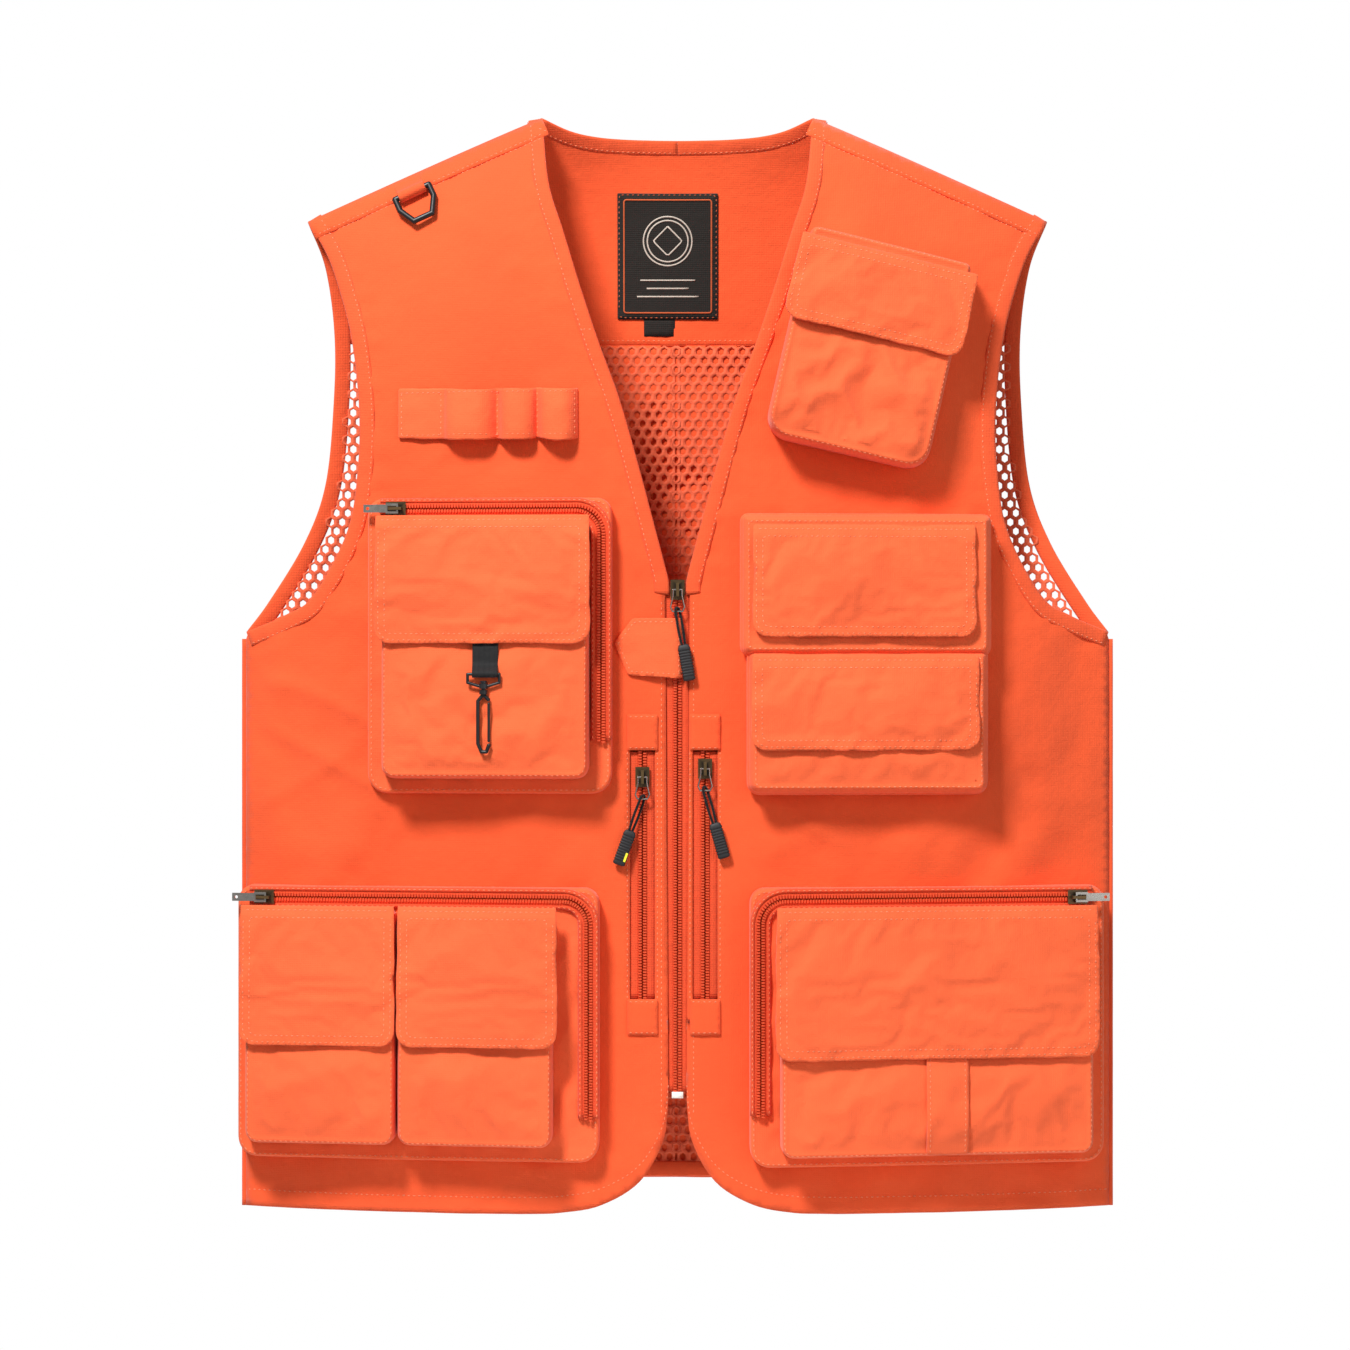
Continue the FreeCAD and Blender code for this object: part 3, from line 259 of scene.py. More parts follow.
def polygon(corners, step):
    """Closed outline through corners, with a point about every step."""
    return np.vstack([straight(a, b, step)[:-1] for a, b in zip(corners, corners[1:] + corners[:1])])


def rectangle_line(x0, x1, z0, z1, step=4.0):
    return polygon([(x0, z0), (x1, z0), (x1, z1), (x0, z1)], step)


def no_short_runs(line, least):
    return line[np.concatenate([[True], np.hypot(*np.diff(line, axis=0).T) > least])]


def rounded(x0, x1, z0, z1, low_r, high_r, inset=0.0, step=5.0):
    """Closed rounded rectangle, anticlockwise from its low left, with the same count at any inset."""
    corners = [(x0, z0, low_r, 180), (x1, z0, low_r, 270), (x1, z1, high_r, 0), (x0, z1, high_r, 90)]
    sides = [x1 - x0, z1 - z0, x1 - x0, z1 - z0]
    pts = []
    for k, (x, z, r, start) in enumerate(corners):
        sx, sz = (1, -1)[x == x1], (1, -1)[z == z1]
        cx, cz = x + sx * r, z + sz * r
        rr = max(r - inset, 0.3)
        ox, oz = (inset - (r - rr)) * sx, (inset - (r - rr)) * sz
        arc = [(cx + ox + rr * math.cos(math.radians(a)), cz + oz + rr * math.sin(math.radians(a)))
               for a in range(start, start + 91, 15)]
        pts += arc
        nx, nz, nr, _ = corners[(k + 1) % 4]
        a = np.array(arc[-1])
        nsx, nsz = (1, -1)[nx == x1], (1, -1)[nz == z1]
        nrr = max(nr - inset, 0.3)
        ncx, ncz = nx + nsx * nr + (inset - (nr - nrr)) * nsx, nz + nsz * nr + (inset - (nr - nrr)) * nsz
        nstart = corners[(k + 1) % 4][3]
        b = np.array([ncx + nrr * math.cos(math.radians(nstart)), ncz + nrr * math.sin(math.radians(nstart))])
        n = max(2, int(sides[k] / step))
        pts += [tuple(a + (b - a) * t) for t in np.arange(1, n) / n]
    return np.array(pts)


def inside(points, outline):
    x, z = points[:, 0][:, None], points[:, 1][:, None]
    x0, z0 = outline[:, 0][None], outline[:, 1][None]
    x1, z1 = np.roll(outline[:, 0], -1)[None], np.roll(outline[:, 1], -1)[None]
    with np.errstate(divide="ignore", invalid="ignore"):
        crosses = ((z0 > z) != (z1 > z)) & (x < (x1 - x0) * (z - z0) / (z1 - z0) + x0)
    return crosses.sum(1) % 2 == 1


def distance(points, line, closed=False):
    """Distance of points to a line of short runs."""
    a = np.array(line, float)
    b = np.roll(a, -1, axis=0) if closed else a[1:]
    a = a if closed else a[:-1]
    best = np.full(len(points), 1e9)
    for start in range(0, len(points), 4000):
        p = points[start:start + 4000][:, None]
        ab = (b - a)[None]
        t = np.clip(((p - a[None]) * ab).sum(2) / np.maximum((ab ** 2).sum(2), 1e-9), 0, 1)
        d = np.sqrt(((p - (a[None] + ab * t[..., None])) ** 2).sum(2)).min(1)
        best[start:start + 4000] = d
    return best


def fill(outline, step, holes=()):
    """Points and triangles over an outline. The outline's own points come first."""
    low, high = outline.min(0), outline.max(0)
    rows = np.arange(low[1], high[1], step * 0.87)
    grid = np.vstack([np.column_stack([np.arange(low[0] + (k % 2) * step / 2, high[0], step),
                                       np.full(len(np.arange(low[0] + (k % 2) * step / 2, high[0], step)), z)])
                      for k, z in enumerate(rows)])
    keep = inside(grid, outline) & (distance(grid, outline, True) > step * 0.55)
    for hole in holes:
        keep &= ~inside(grid, hole) & (distance(grid, hole, True) > step * 0.55)
    points = [outline] + list(holes) + [grid[keep]]
    edges, first = [], 0
    for loop in [outline] + list(holes):
        n = len(loop)
        edges += [(first + i, first + (i + 1) % n) for i in range(n)]
        first += n
    co, _, faces, origin, _, _ = delaunay_2d_cdt([Vector(p) for p in np.vstack(points)], edges, [], 0, 1e-6)
    co = np.array([tuple(c) for c in co])
    order = {}
    for new, olds in enumerate(origin):
        for old in olds:
            order[old] = new
    tri = np.array([f[:3] for f in faces if len(f) == 3])
    centre = co[tri].mean(1)
    good = inside(centre, outline)
    for hole in holes:
        good &= ~inside(centre, hole)
    tri = tri[good]
    a, b, c = co[tri[:, 0]], co[tri[:, 1]], co[tri[:, 2]]
    turn = (b[:, 0] - a[:, 0]) * (c[:, 1] - a[:, 1]) - (b[:, 1] - a[:, 1]) * (c[:, 0] - a[:, 0])
    tri[turn < 0] = tri[turn < 0][:, ::-1]
    tri = tri[np.abs(turn) > 1e-6]
    first_ids = [order[i] for i in range(len(outline))]
    return co, tri, first_ids


# ------------------------------------------------------------------ mesh objects
MATERIALS = {}


def make(name, verts, faces, material, slot, smooth_shade=True):
    mesh = bpy.data.meshes.new(name)
    mesh.from_pydata([tuple(v) for v in np.asarray(verts) * MM], [], [tuple(int(i) for i in f) for f in faces])
    mesh.validate()
    mesh.materials.append(MATERIALS[material])
    mesh.polygons.foreach_set("use_smooth", [smooth_shade] * len(mesh.polygons))
    obj = bpy.data.objects.new(name, mesh)
    bpy.context.scene.collection.objects.link(obj)
    return obj


def coords(obj):
    co = np.empty(len(obj.data.vertices) * 3)
    obj.data.vertices.foreach_get("co", co)
    return co.reshape(-1, 3) / MM


def settle(obj):
    """Applies an object's modifiers to its mesh."""
    bpy.context.view_layer.update()
    graph = bpy.context.evaluated_depsgraph_get()
    mesh = bpy.data.meshes.new_from_object(obj.evaluated_get(graph))
    old = obj.data
    obj.modifiers.clear()
    obj.data = mesh
    mesh.name = obj.name
    bpy.data.meshes.remove(old)


def thicken(obj, thick, subdivide=0, offset=-1.0):
    """Gives a cloth face its thickness behind it, and smooths it."""
    if subdivide:
        sub = obj.modifiers.new("subdivide", "SUBSURF")
        sub.levels = sub.render_levels = subdivide
    solid = obj.modifiers.new("solid", "SOLIDIFY")
    solid.thickness = thick * MM
    solid.offset = offset
    solid.use_even_offset = False
    settle(obj)


def join(objects, name):
    """Several objects as one."""
    merged = bmesh.new()
    for obj in objects:
        merged.from_mesh(obj.data)
    keep = objects[0]
    merged.to_mesh(keep.data)
    merged.free()
    for obj in objects[1:]:
        mesh = obj.data
        bpy.data.objects.remove(obj)
        bpy.data.meshes.remove(mesh)
    keep.name = keep.data.name = name
    return keep


def put(obj, body, *nodes):
    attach(obj, body)
    if nodes:
        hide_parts(*nodes)
    return obj


def panel(name, outline, height, material, slot, thick=CLOTH, step=4.0, holes=(), subdivide=0, back=False):
    """Cloth over an outline on a curved layer; height is its middle."""
    co, tri, _ = fill(outline, step, holes)
    y = height(co[:, 0], co[:, 1])
    if back:
        tri = tri[:, ::-1]
    obj = make(name, np.column_stack([co[:, 0], y, co[:, 1]]), tri, material, slot)
    if thick:
        thicken(obj, thick, subdivide, 0.0)
    return obj


def sweep(line, height, profile, closed=False):
    """Vertices and faces of a profile (aside, out) swept along a line on a layer."""
    n = normals(line) if not closed else closed_normals(line)
    k, m = len(line), len(profile)
    verts = []
    for aside, out in profile:
        p = line + n * aside
        verts.append(np.column_stack([p[:, 0], height(p[:, 0], p[:, 1]) - out, p[:, 1]]))
    verts = np.stack(verts, 1).reshape(-1, 3)
    faces = []
    for i in range(k if closed else k - 1):
        a, b = i * m, ((i + 1) % k) * m
        faces += [(a + j, b + j, b + (j + 1) % m, a + (j + 1) % m) for j in range(m)]
    if not closed:
        faces += [tuple(range(m))[::-1], tuple((k - 1) * m + j for j in range(m))]
    return verts, faces


def closed_normals(line):
    d = np.roll(line, -1, axis=0) - np.roll(line, 1, axis=0)
    d /= np.hypot(d[:, 0], d[:, 1])[:, None]
    return np.column_stack([d[:, 1], -d[:, 0]])


def fix_normals(obj, merge=0.0):
    """Turns the faces outward, after joining points that lie closer than merge."""
    work = bmesh.new()
    work.from_mesh(obj.data)
    if merge:
        bmesh.ops.remove_doubles(work, verts=work.verts, dist=merge * MM)
    bmesh.ops.recalc_face_normals(work, faces=work.faces)
    work.to_mesh(obj.data)
    work.free()


def pooled(parts):
    """Vertices and faces of several parts as one."""
    verts, faces, first = [], [], 0
    for part_verts, part_faces in parts:
        verts.append(part_verts)
        faces += [tuple(i + first for i in face) for face in part_faces]
        first += len(part_verts)
    return np.vstack(verts), faces


def strips(name, runs, material, slot):
    """One object of several sweeps, each (line, height, profile)."""
    obj = make(name, *pooled(sweep(*run) for run in runs), material, slot)
    fix_normals(obj)
    return obj


def tape_profile(low, high, thick, out):
    """Flat tape with rounded edges."""
    r = thick / 2
    return [(low, out), (low + r * 0.4, out + r), (high - r * 0.4, out + r), (high, out),
            (high - r * 0.4, out - r), (low + r * 0.4, out - r)]


def boxes(centres, axis, side, up, long, wide, high):
    """Many small eight-cornered blocks, narrower at the top; arrays of vectors."""
    verts = []
    for a, b, c, shrink in ((-1, -1, 0, 1), (1, -1, 0, 1), (1, 1, 0, 1), (-1, 1, 0, 1),
                            (-1, -1, 1, 0.72), (1, -1, 1, 0.72), (1, 1, 1, 0.72), (-1, 1, 1, 0.72)):
        verts.append(centres + axis * (a * long / 2 * shrink) + side * (b * wide / 2 * shrink) + up * (c * high))
    verts = np.stack(verts, 1).reshape(-1, 3)
    quads = [(0, 3, 2, 1), (4, 5, 6, 7), (0, 1, 5, 4), (1, 2, 6, 5), (2, 3, 7, 6), (3, 0, 4, 7)]
    faces = [tuple(8 * i + q for q in quad) for i in range(len(centres)) for quad in quads]
    return verts, faces


def ray_y(tree, x, z, back=False):
    """Where a line along Y first meets a mesh, from the front or from behind."""
    start, way = (Vector((x * MM, 1.0, z * MM)), Vector((0, -1, 0))) if back else \
        (Vector((x * MM, -1.0, z * MM)), Vector((0, 1, 0)))
    hit = tree.ray_cast(start, way)[0]
    return None if hit is None else hit.y / MM


def tree_of(*objects):
    verts, polys, first = [], [], 0
    for obj in objects:
        verts += [v.co.copy() for v in obj.data.vertices]
        polys += [tuple(i + first for i in p.vertices) for p in obj.data.polygons]
        first = len(verts)
    return BVHTree.FromPolygons(verts, polys)


THREAD_PITCH, THREAD_LONG, THREAD_R = 3.2, 2.4, 0.38


def stitches(name, tree, lines, material="thread", back=False, slot="binding_cloth"):
    """Short threads along lines (x, z), lying on whatever the tree holds."""
    ends = []
    for line in lines:
        line = spaced(np.array(line, float), THREAD_PITCH)
        way = np.diff(line, axis=0)
        for p, d in zip(line[:-1], way):
            e = d / max(np.hypot(*d), 1e-6) * THREAD_LONG
            ya, yb = ray_y(tree, p[0], p[1], back), ray_y(tree, p[0] + e[0], p[1] + e[1], back)
            if ya is not None and yb is not None and abs(ya - yb) < 2.5:
                ends.append(((p[0], ya, p[1]), (p[0] + e[0], yb, p[1] + e[1])))
    ends = np.array(ends)
    a, b = ends[:, 0], ends[:, 1]
    axis = (b - a) / np.linalg.norm(b - a, axis=1)[:, None]
    up = np.array([0.0, 1.0 if back else -1.0, 0.0])
    side = np.cross(axis, up)
    side /= np.linalg.norm(side, axis=1)[:, None]
    middle = (a + b) / 2
    verts = np.stack([a - up * 0.15, b - up * 0.15, middle + side * THREAD_R, middle + up * THREAD_R * 1.3,
                      middle - side * THREAD_R, middle - up * 0.3], 1).reshape(-1, 3)
    tri = [(0, 2, 3), (0, 3, 4), (0, 4, 5), (0, 5, 2), (1, 3, 2), (1, 4, 3), (1, 5, 4), (1, 2, 5)]
    faces = [tuple(6 * i + t for t in f) for i in range(len(a)) for f in tri]
    obj = make(name, verts, faces, material, slot)
    fix_normals(obj)
    return obj


# ------------------------------------------------------------------ materials
def linear(rgb):
    out = []
    for v in rgb:
        v /= 255.0
        out.append(v / 12.92 if v <= 0.04045 else ((v + 0.055) / 1.055) ** 2.4)
    return (*out, 1.0)


def set_sockets(node, **values):
    """Puts constants on a shader node's sockets; an underscore stands for a space in a socket's name."""
    for name, value in values.items():
        node.inputs[name.replace("_", " ")].default_value = value
    return node


def new_material(name):
    """A material's shader, and the functions that add, mix and link its nodes."""
    material = MATERIALS[name] = bpy.data.materials.new(name)
    material.use_nodes = True
    tree = material.node_tree

    def add(kind, **sockets):
        return set_sockets(tree.nodes.new("ShaderNode" + kind), **sockets)

    def mix(blend="MIX", **sockets):
        node = tree.nodes.new("ShaderNodeMix")
        node.data_type = "RGBA"
        node.blend_type = blend
        return set_sockets(node, **sockets)

    def chain(*pairs):
        for source, target in pairs:
            tree.links.new(source, target)

    return tree.nodes["Principled BSDF"], add, mix, chain


PATCHY = 0.08


def cloth_material(name, rgb, rough=0.85, weave=0.55, strength=0.25, sheen=0.15, ribs=False):
    """Woven or ribbed material: crossed threads in the bump, soft patches in the colour."""
    bsdf, add, mix, chain = new_material(name)
    set_sockets(bsdf, Roughness=rough, Sheen_Weight=sheen, Sheen_Roughness=0.5, Specular_IOR_Level=0.25)
    place = add("TexCoord").outputs["Object"]
    patches = add("TexNoise", Scale=14.0, Detail=4.0)
    grain = add("TexNoise", Scale=900.0, Detail=2.0)
    tones = add("ValToRGB")
    base = linear(rgb)[:3]
    for element, position, share in zip(tones.color_ramp.elements, (0.3, 0.72), (1 - PATCHY, 1 + PATCHY)):
        element.position = position
        element.color = (*(min(1, c * share) for c in base), 1)
    speck = mix("MULTIPLY", Factor=0.22)
    tone = mix(Factor=0.12)
    waves = []
    for direction in "X" if ribs else "XZ":
        wave = add("TexWave", Scale=0.5 / (weave * MM) / 3.1416, Distortion=0.6, Detail=1.0)
        wave.bands_direction = direction
        chain((place, wave.inputs["Vector"]))
        waves.append(wave.outputs["Fac"])
    threads = waves[0]
    if not ribs:
        cross = add("Math")
        cross.operation = "ADD"
        chain(*zip(waves, cross.inputs))
        threads = cross.outputs[0]
    fine = add("Bump", Strength=strength, Distance=0.00025)
    crumple = add("TexNoise", Scale=85.0, Detail=5.0, Roughness=0.6)
    soft = add("Bump", Strength=0.5, Distance=0.0018)
    chain((place, patches.inputs["Vector"]), (place, grain.inputs["Vector"]), (place, crumple.inputs["Vector"]),
          (patches.outputs["Fac"], tones.inputs["Fac"]), (tones.outputs["Color"], speck.inputs["A"]),
          (grain.outputs["Color"], speck.inputs["B"]), (tones.outputs["Color"], tone.inputs["A"]),
          (speck.outputs["Result"], tone.inputs["B"]), (tone.outputs["Result"], bsdf.inputs["Base Color"]),
          (threads, fine.inputs["Height"]), (crumple.outputs["Fac"], soft.inputs["Height"]),
          (fine.outputs["Normal"], soft.inputs["Normal"]), (soft.outputs["Normal"], bsdf.inputs["Normal"]))


def hard_material(name, rgb, rough, metallic=0.0, bump=0.1, painted_edge_highlight=None, coat=0.0):
    """Moulded plastic or metal: fine mottling, and a lighter tone painted on raised edges as a painted highlight."""
    bsdf, add, mix, chain = new_material(name)
    set_sockets(bsdf, Metallic=metallic, Coat_Weight=coat)
    place = add("TexCoord").outputs["Object"]
    mottle = add("TexNoise", Scale=300.0, Detail=4.0)
    roughness = add("MapRange", To_Min=max(0.05, rough - 0.1), To_Max=min(1.0, rough + 0.15))
    # painted highlight: raised edges, found by pointiness, get the lighter edge colour whatever the light
    colour = mix(A=linear(rgb), B=linear(painted_edge_highlight or tuple(min(255, c * 1.25 + 8) for c in rgb)))
    edge = add("NewGeometry").outputs["Pointiness"]
    sharp = add("MapRange", From_Min=0.5, From_Max=0.62)
    relief = add("Bump", Strength=bump, Distance=0.0002)
    chain((place, mottle.inputs["Vector"]), (mottle.outputs["Fac"], roughness.inputs["Value"]),
          (roughness.outputs["Result"], bsdf.inputs["Roughness"]), (edge, sharp.inputs["Value"]),
          (sharp.outputs["Result"], colour.inputs["Factor"]), (colour.outputs["Result"], bsdf.inputs["Base Color"]),
          (mottle.outputs["Fac"], relief.inputs["Height"]), (relief.outputs["Normal"], bsdf.inputs["Normal"]))


cloth_material("shell", (243, 92, 46))
# pocket: the same shell cloth painted lighter, a painted highlight for the raised pocket fronts, flaps, tab, tool
# loops and strap that face the key light
cloth_material("pocket", (250, 104, 58))
cloth_material("lining", (222, 76, 38), weave=0.8)
cloth_material("mesh", (236, 104, 66), rough=0.7, weave=0.5, sheen=0.3)
cloth_material("binding", (240, 92, 48), weave=0.5, strength=0.35)
cloth_material("thread", (255, 142, 96), rough=0.6, weave=0.3, sheen=0.3)
cloth_material("webbing", (22, 22, 23), rough=0.7, weave=1.6, strength=0.8, ribs=True)
cloth_material("label", (34, 30, 26), rough=0.8, weave=0.6, strength=0.5)
cloth_material("label_print", (196, 92, 50), rough=0.7, weave=0.4)
cloth_material("label_pale", (196, 186, 172), rough=0.7, weave=0.4)
cloth_material("tape", (226, 80, 42), weave=0.7, strength=0.4)
cloth_material("cord", (16, 16, 17), rough=0.75, weave=0.5, strength=0.7)
hard_material("coil", (226, 84, 44), 0.42)
# black metal: the gold on its raised edges is a painted highlight
hard_material("black_metal", (26, 24, 22), 0.3, 0.6, painted_edge_highlight=(120, 96, 60), coat=0.2)
hard_material("silver", (150, 146, 140), 0.25, 1.0)
hard_material("plastic", (17, 17, 19), 0.38, bump=0.25)
hard_material("rubber", (24, 24, 26), 0.6, bump=0.4)
hard_material("accent", (214, 190, 40), 0.5)
hard_material("white_plastic", (208, 200, 190), 0.4)


# ------------------------------------------------------------------ camera, light and floor
scene = bpy.context.scene
scene.view_settings.view_transform = "Standard"
scene.view_settings.look = "None"
camera = bpy.data.objects.new("camera", bpy.data.cameras.new("camera"))
scene.collection.objects.link(camera)
camera.data.lens = 106.67
camera.data.sensor_width = 36.0
camera.location = (-0.0015, -2.46, -0.328)
camera.rotation_euler = (math.pi / 2, 0, 0)
scene.camera = camera


def area_light(name, place, aim, size, power):
    data = bpy.data.lights.new(name, "AREA")
    data.shape = "RECTANGLE"
    data.size, data.size_y = size
    data.energy = power
    obj = bpy.data.objects.new(name, data)
    obj.location = place
    obj.rotation_euler = (Vector(aim) - Vector(place)).to_track_quat("-Z", "Y").to_euler()
    scene.collection.objects.link(obj)


MIDDLE = (0.0, -0.02, -0.32)
area_light("key", (-0.85, -1.75, 1.55), MIDDLE, (0.5, 0.5), 90)
area_light("fill", (1.7, -1.9, 0.1), MIDDLE, (1.4, 1.4), 11)
area_light("rim", (0.6, 1.8, 1.2), MIDDLE, (1.5, 1.5), 26)
world = bpy.data.worlds.new("studio")
scene.world = world
world.use_nodes = True
sky_nodes, sky_link = world.node_tree.nodes, world.node_tree.links.new
sky = set_sockets(sky_nodes["Background"], Color=(1, 1, 1, 1), Strength=0.30)
seen = set_sockets(sky_nodes.new("ShaderNodeBackground"), Color=(1, 1, 1, 1), Strength=1.0)
choose = sky_nodes.new("ShaderNodeMixShader")
path = sky_nodes.new("ShaderNodeLightPath")
for source, target in ((path.outputs["Is Camera Ray"], choose.inputs[0]), (sky.outputs[0], choose.inputs[1]),
                       (seen.outputs[0], choose.inputs[2]),
                       (choose.outputs[0], sky_nodes["World Output"].inputs[0])):
    sky_link(source, target)


def floor():
    mesh = bpy.data.meshes.new("floor")
    work = bmesh.new()
    bmesh.ops.create_circle(work, cap_ends=True, segments=64, radius=0.55)
    work.to_mesh(mesh)
    work.free()
    m = bpy.data.materials.new("pale_floor")
    m.use_nodes = True
    bsdf = m.node_tree.nodes["Principled BSDF"]
    bsdf.inputs["Base Color"].default_value = (0.86, 0.86, 0.86, 1)
    bsdf.inputs["Roughness"].default_value = 0.8
    mesh.materials.append(m)
    obj = bpy.data.objects.new("floor", mesh)
    obj.location = (0, 0, -0.86)
    scene.collection.objects.link(obj)


floor()

# ------------------------------------------------------------------ pull cords and grips
BAR_OUT = 4.4
BAIL_LONG = 13.0
GRIP = (22.0, 3.8, 3.6)
GRIP_DOWN = BAIL_LONG + 20.0
RING_POINTS = 20
SLIDERS = {"main": (0.0, -277.0, 10.0), "right_hand": (-21.0, -389.0, -20.0), "left_hand": (16.5, -384.0, 16.0)}
CORD_DIAMETER = 1.6
CORD_ROUTE = [(20.0, -1.0, 0.8), (12.0, -1.5, 1.1), (4.5, -1.3, 1.6), (-2.2, -1.2, 1.6),
              (-2.2, 1.2, -1.6), (4.5, 1.4, -1.5), (12.0, 1.5, -1.1), (20.0, 1.0, -0.8)]


def hung(points, x, z, swing):
    """Slider coordinates (down, aside to +X, out) put in place and swung about the bail's foot."""
    y0 = float(plain_front(x, z))
    c, s = math.cos(math.radians(swing)), math.sin(math.radians(swing))
    out = []
    for down, aside, far in points:
        d = down - BAIL_LONG
        out.append((x + aside * c + d * s, y0 - far, z - BAIL_LONG - d * c + aside * s))
    return np.array(out)


def ribbed_grip(name, x, z, swing, accent):
    """Moulded grip with cross ribs and a waist at its top."""
    long, half, thick = GRIP
    rings = []
    stations = [(0.0, 0.45), (0.6, 0.8), (2.0, 0.93)]
    ribs = np.arange(3.4, long - 3.0, 1.7)
    for r in ribs:
        stations += [(r - 0.55, 1.0), (r + 0.3, 1.0), (r + 0.42, 0.9), (r + 0.75, 0.9)]
    stations += [(long - 1.6, 1.0), (long - 0.5, 0.93), (long, 0.6)]
    for s, size in stations:
        for k in range(RING_POINTS):
            a = 2 * math.pi * k / RING_POINTS
            cx, cy = math.cos(a), math.sin(a)
            px = math.copysign(abs(cx) ** 0.45, cx) * half * size
            py = math.copysign(abs(cy) ** 0.5, cy) * thick / 2 * size
            rings.append((GRIP_DOWN + s, px, BAR_OUT + py))
    verts = hung(rings, x, z, swing)
    n = RING_POINTS
    faces = [(i * n + k, i * n + (k + 1) % n, (i + 1) * n + (k + 1) % n, (i + 1) * n + k)
             for i in range(len(stations) - 1) for k in range(n)]
    faces += [tuple(range(n)), tuple((len(stations) - 1) * n + k for k in range(n))[::-1]]
    obj = make(name, verts, faces, "rubber", "grip_rubber")
    fix_normals(obj)
    if accent:
        block = hung([(GRIP_DOWN + d, a, BAR_OUT + o) for d in (13.5, 19.0) for a in (1.9, 3.2)
                      for o in (1.0, 2.05)], x, z, swing)
        part = make(name + "_accent", block, [(0, 1, 3, 2), (4, 6, 7, 5), (0, 4, 5, 1), (2, 3, 7, 6), (0, 2, 6, 4),
                                              (1, 5, 7, 3)], "accent", "grip_rubber", False)
        fix_normals(part)
        put(part, name.replace("_grip_piece", "_grip"))
    return obj


for key, (sx, sz, swing) in SLIDERS.items():
    route = hung([(BAIL_LONG + d, a, BAR_OUT + o) for d, a, o in CORD_ROUTE], sx, sz, swing) * MM
    curve = bpy.data.curves.new(key + "_cord", "CURVE")
    curve.dimensions = "3D"
    spline = curve.splines.new("NURBS")
    spline.points.add(len(route) - 1)
    for point, co in zip(spline.points, route):
        point.co = (*co, 1)
    spline.order_u = 3
    spline.use_endpoint_u = True
    spline.resolution_u = 10
    curve.bevel_depth = CORD_DIAMETER / 2 * MM
    curve.bevel_resolution = 3
    curve.use_fill_caps = True
    curve.materials.append(MATERIALS["cord"])
    cord = bpy.data.objects.new(key + "_cord", curve)
    scene.collection.objects.link(cord)
    put(cord, key + "_grip", key + "_pull_cord")
    handle = put(ribbed_grip(key + "_grip_piece", sx, sz, swing, key == "right_hand"), key + "_grip", key + "_grip")

# ------------------------------------------------------------------ front panels
WINDOWS = {1: (HAND_ZIP_X[1], *WINDOW_Z), -1: (HAND_ZIP_X[0], *WINDOW_Z)}


def front_outline(side):
    neck = beside(NECK_LINE, -2.0)
    arm = beside(FRONT_ARM, 2.0)
    corner = smooth(FRONT_CORNER)
    low_corner = (PANEL_X, HEM_Z)
    line = np.vstack([neck, straight(neck[-1], corner[0])[1:-1], corner, straight(corner[-1], low_corner)[1:],
                      straight(low_corner, (PANEL_X, UNDERARM_Z))[1:-1], arm[::-1], smooth(RIDGE)[::-1][1:-1]])
    line = no_short_runs(line, 0.8)
    return line if side > 0 else flip(line)[::-1]


def window(side):
    x, z0, z1 = WINDOWS[side]
    return rectangle_line(x - 7.5, x + 7.5, z0, z1)


hem_line = np.vstack([smooth(FRONT_CORNER), straight((95.0, HEM_Z), (PANEL_X, HEM_Z))[1:]])


def puckered(height, lines, amount=0.35, reach=7.0, seed=5):
    """Crumples a layer a little along its seams."""
    lines = [np.array(line, float) for line in lines]

    def crumpled(x, z):
        x, z = np.atleast_1d(x), np.atleast_1d(z)
        p = np.column_stack([x, z])
        d = np.full(len(p), 1e9)
        for line in lines:
            d = np.minimum(d, distance(p, line))
        near = np.exp(-(d / reach) ** 2)
        return height(x, z) - amount * near * (noise(x, z, 7.5, seed) + 0.6 * noise(x, z, 4.2, seed + 1))

    return crumpled


def front_seams(side):
    lines = [hem_line + (0, 10.0), beside(NECK_LINE, -11), beside(FRONT_ARM, 12),
             smooth([(x, z - 13) for x, z in RIDGE])]
    return [mirrored(line, side) for line in lines]


for side, name in ((1, "left_front_panel"), (-1, "right_front_panel")):
    height = puckered(front_y, front_seams(side), 0.8, 9.0, 41 + side)
    obj = panel(name + "_cloth", front_outline(side), height, "shell", "shell_cloth", CLOTH, 4.2, [window(side)])
    put(obj, "vest", name)

# ------------------------------------------------------------------ linings and bags behind the panels
lining = []
for side in (1, -1):
    line = np.vstack([beside(NECK_LINE, -9), smooth([(9.0, V_BOTTOM_Z - 8), (9.0, HEM_Z + 62)]),
                      smooth([(12, HEM_Z + 44), (24, HEM_Z + 27), (46, HEM_Z + 14), (95, HEM_Z + 12)]),
                      straight((95.0, HEM_Z + 12), (245.0, HEM_Z + 12), 6)[1:],
                      straight((245.0, HEM_Z + 12), (245.0, UNDERARM_Z - 12), 6)[1:],
                      beside(FRONT_ARM, 10)[::-1][6:], smooth([(x, z - 13) for x, z in RIDGE])[::-1][2:-2]])
    line = no_short_runs(line, 1.0)
    line = line if side > 0 else flip(line)[::-1]
    lining.append(panel("lining", line, lambda x, z: plain_front(x, z) + 6.0 + 0.3 * noise(x, z, 30, 3), "lining",
                        "lining_cloth", 0.8, 9.0))
obj = put(join(lining, "front_lining_cloth"), "vest", "front_linings")

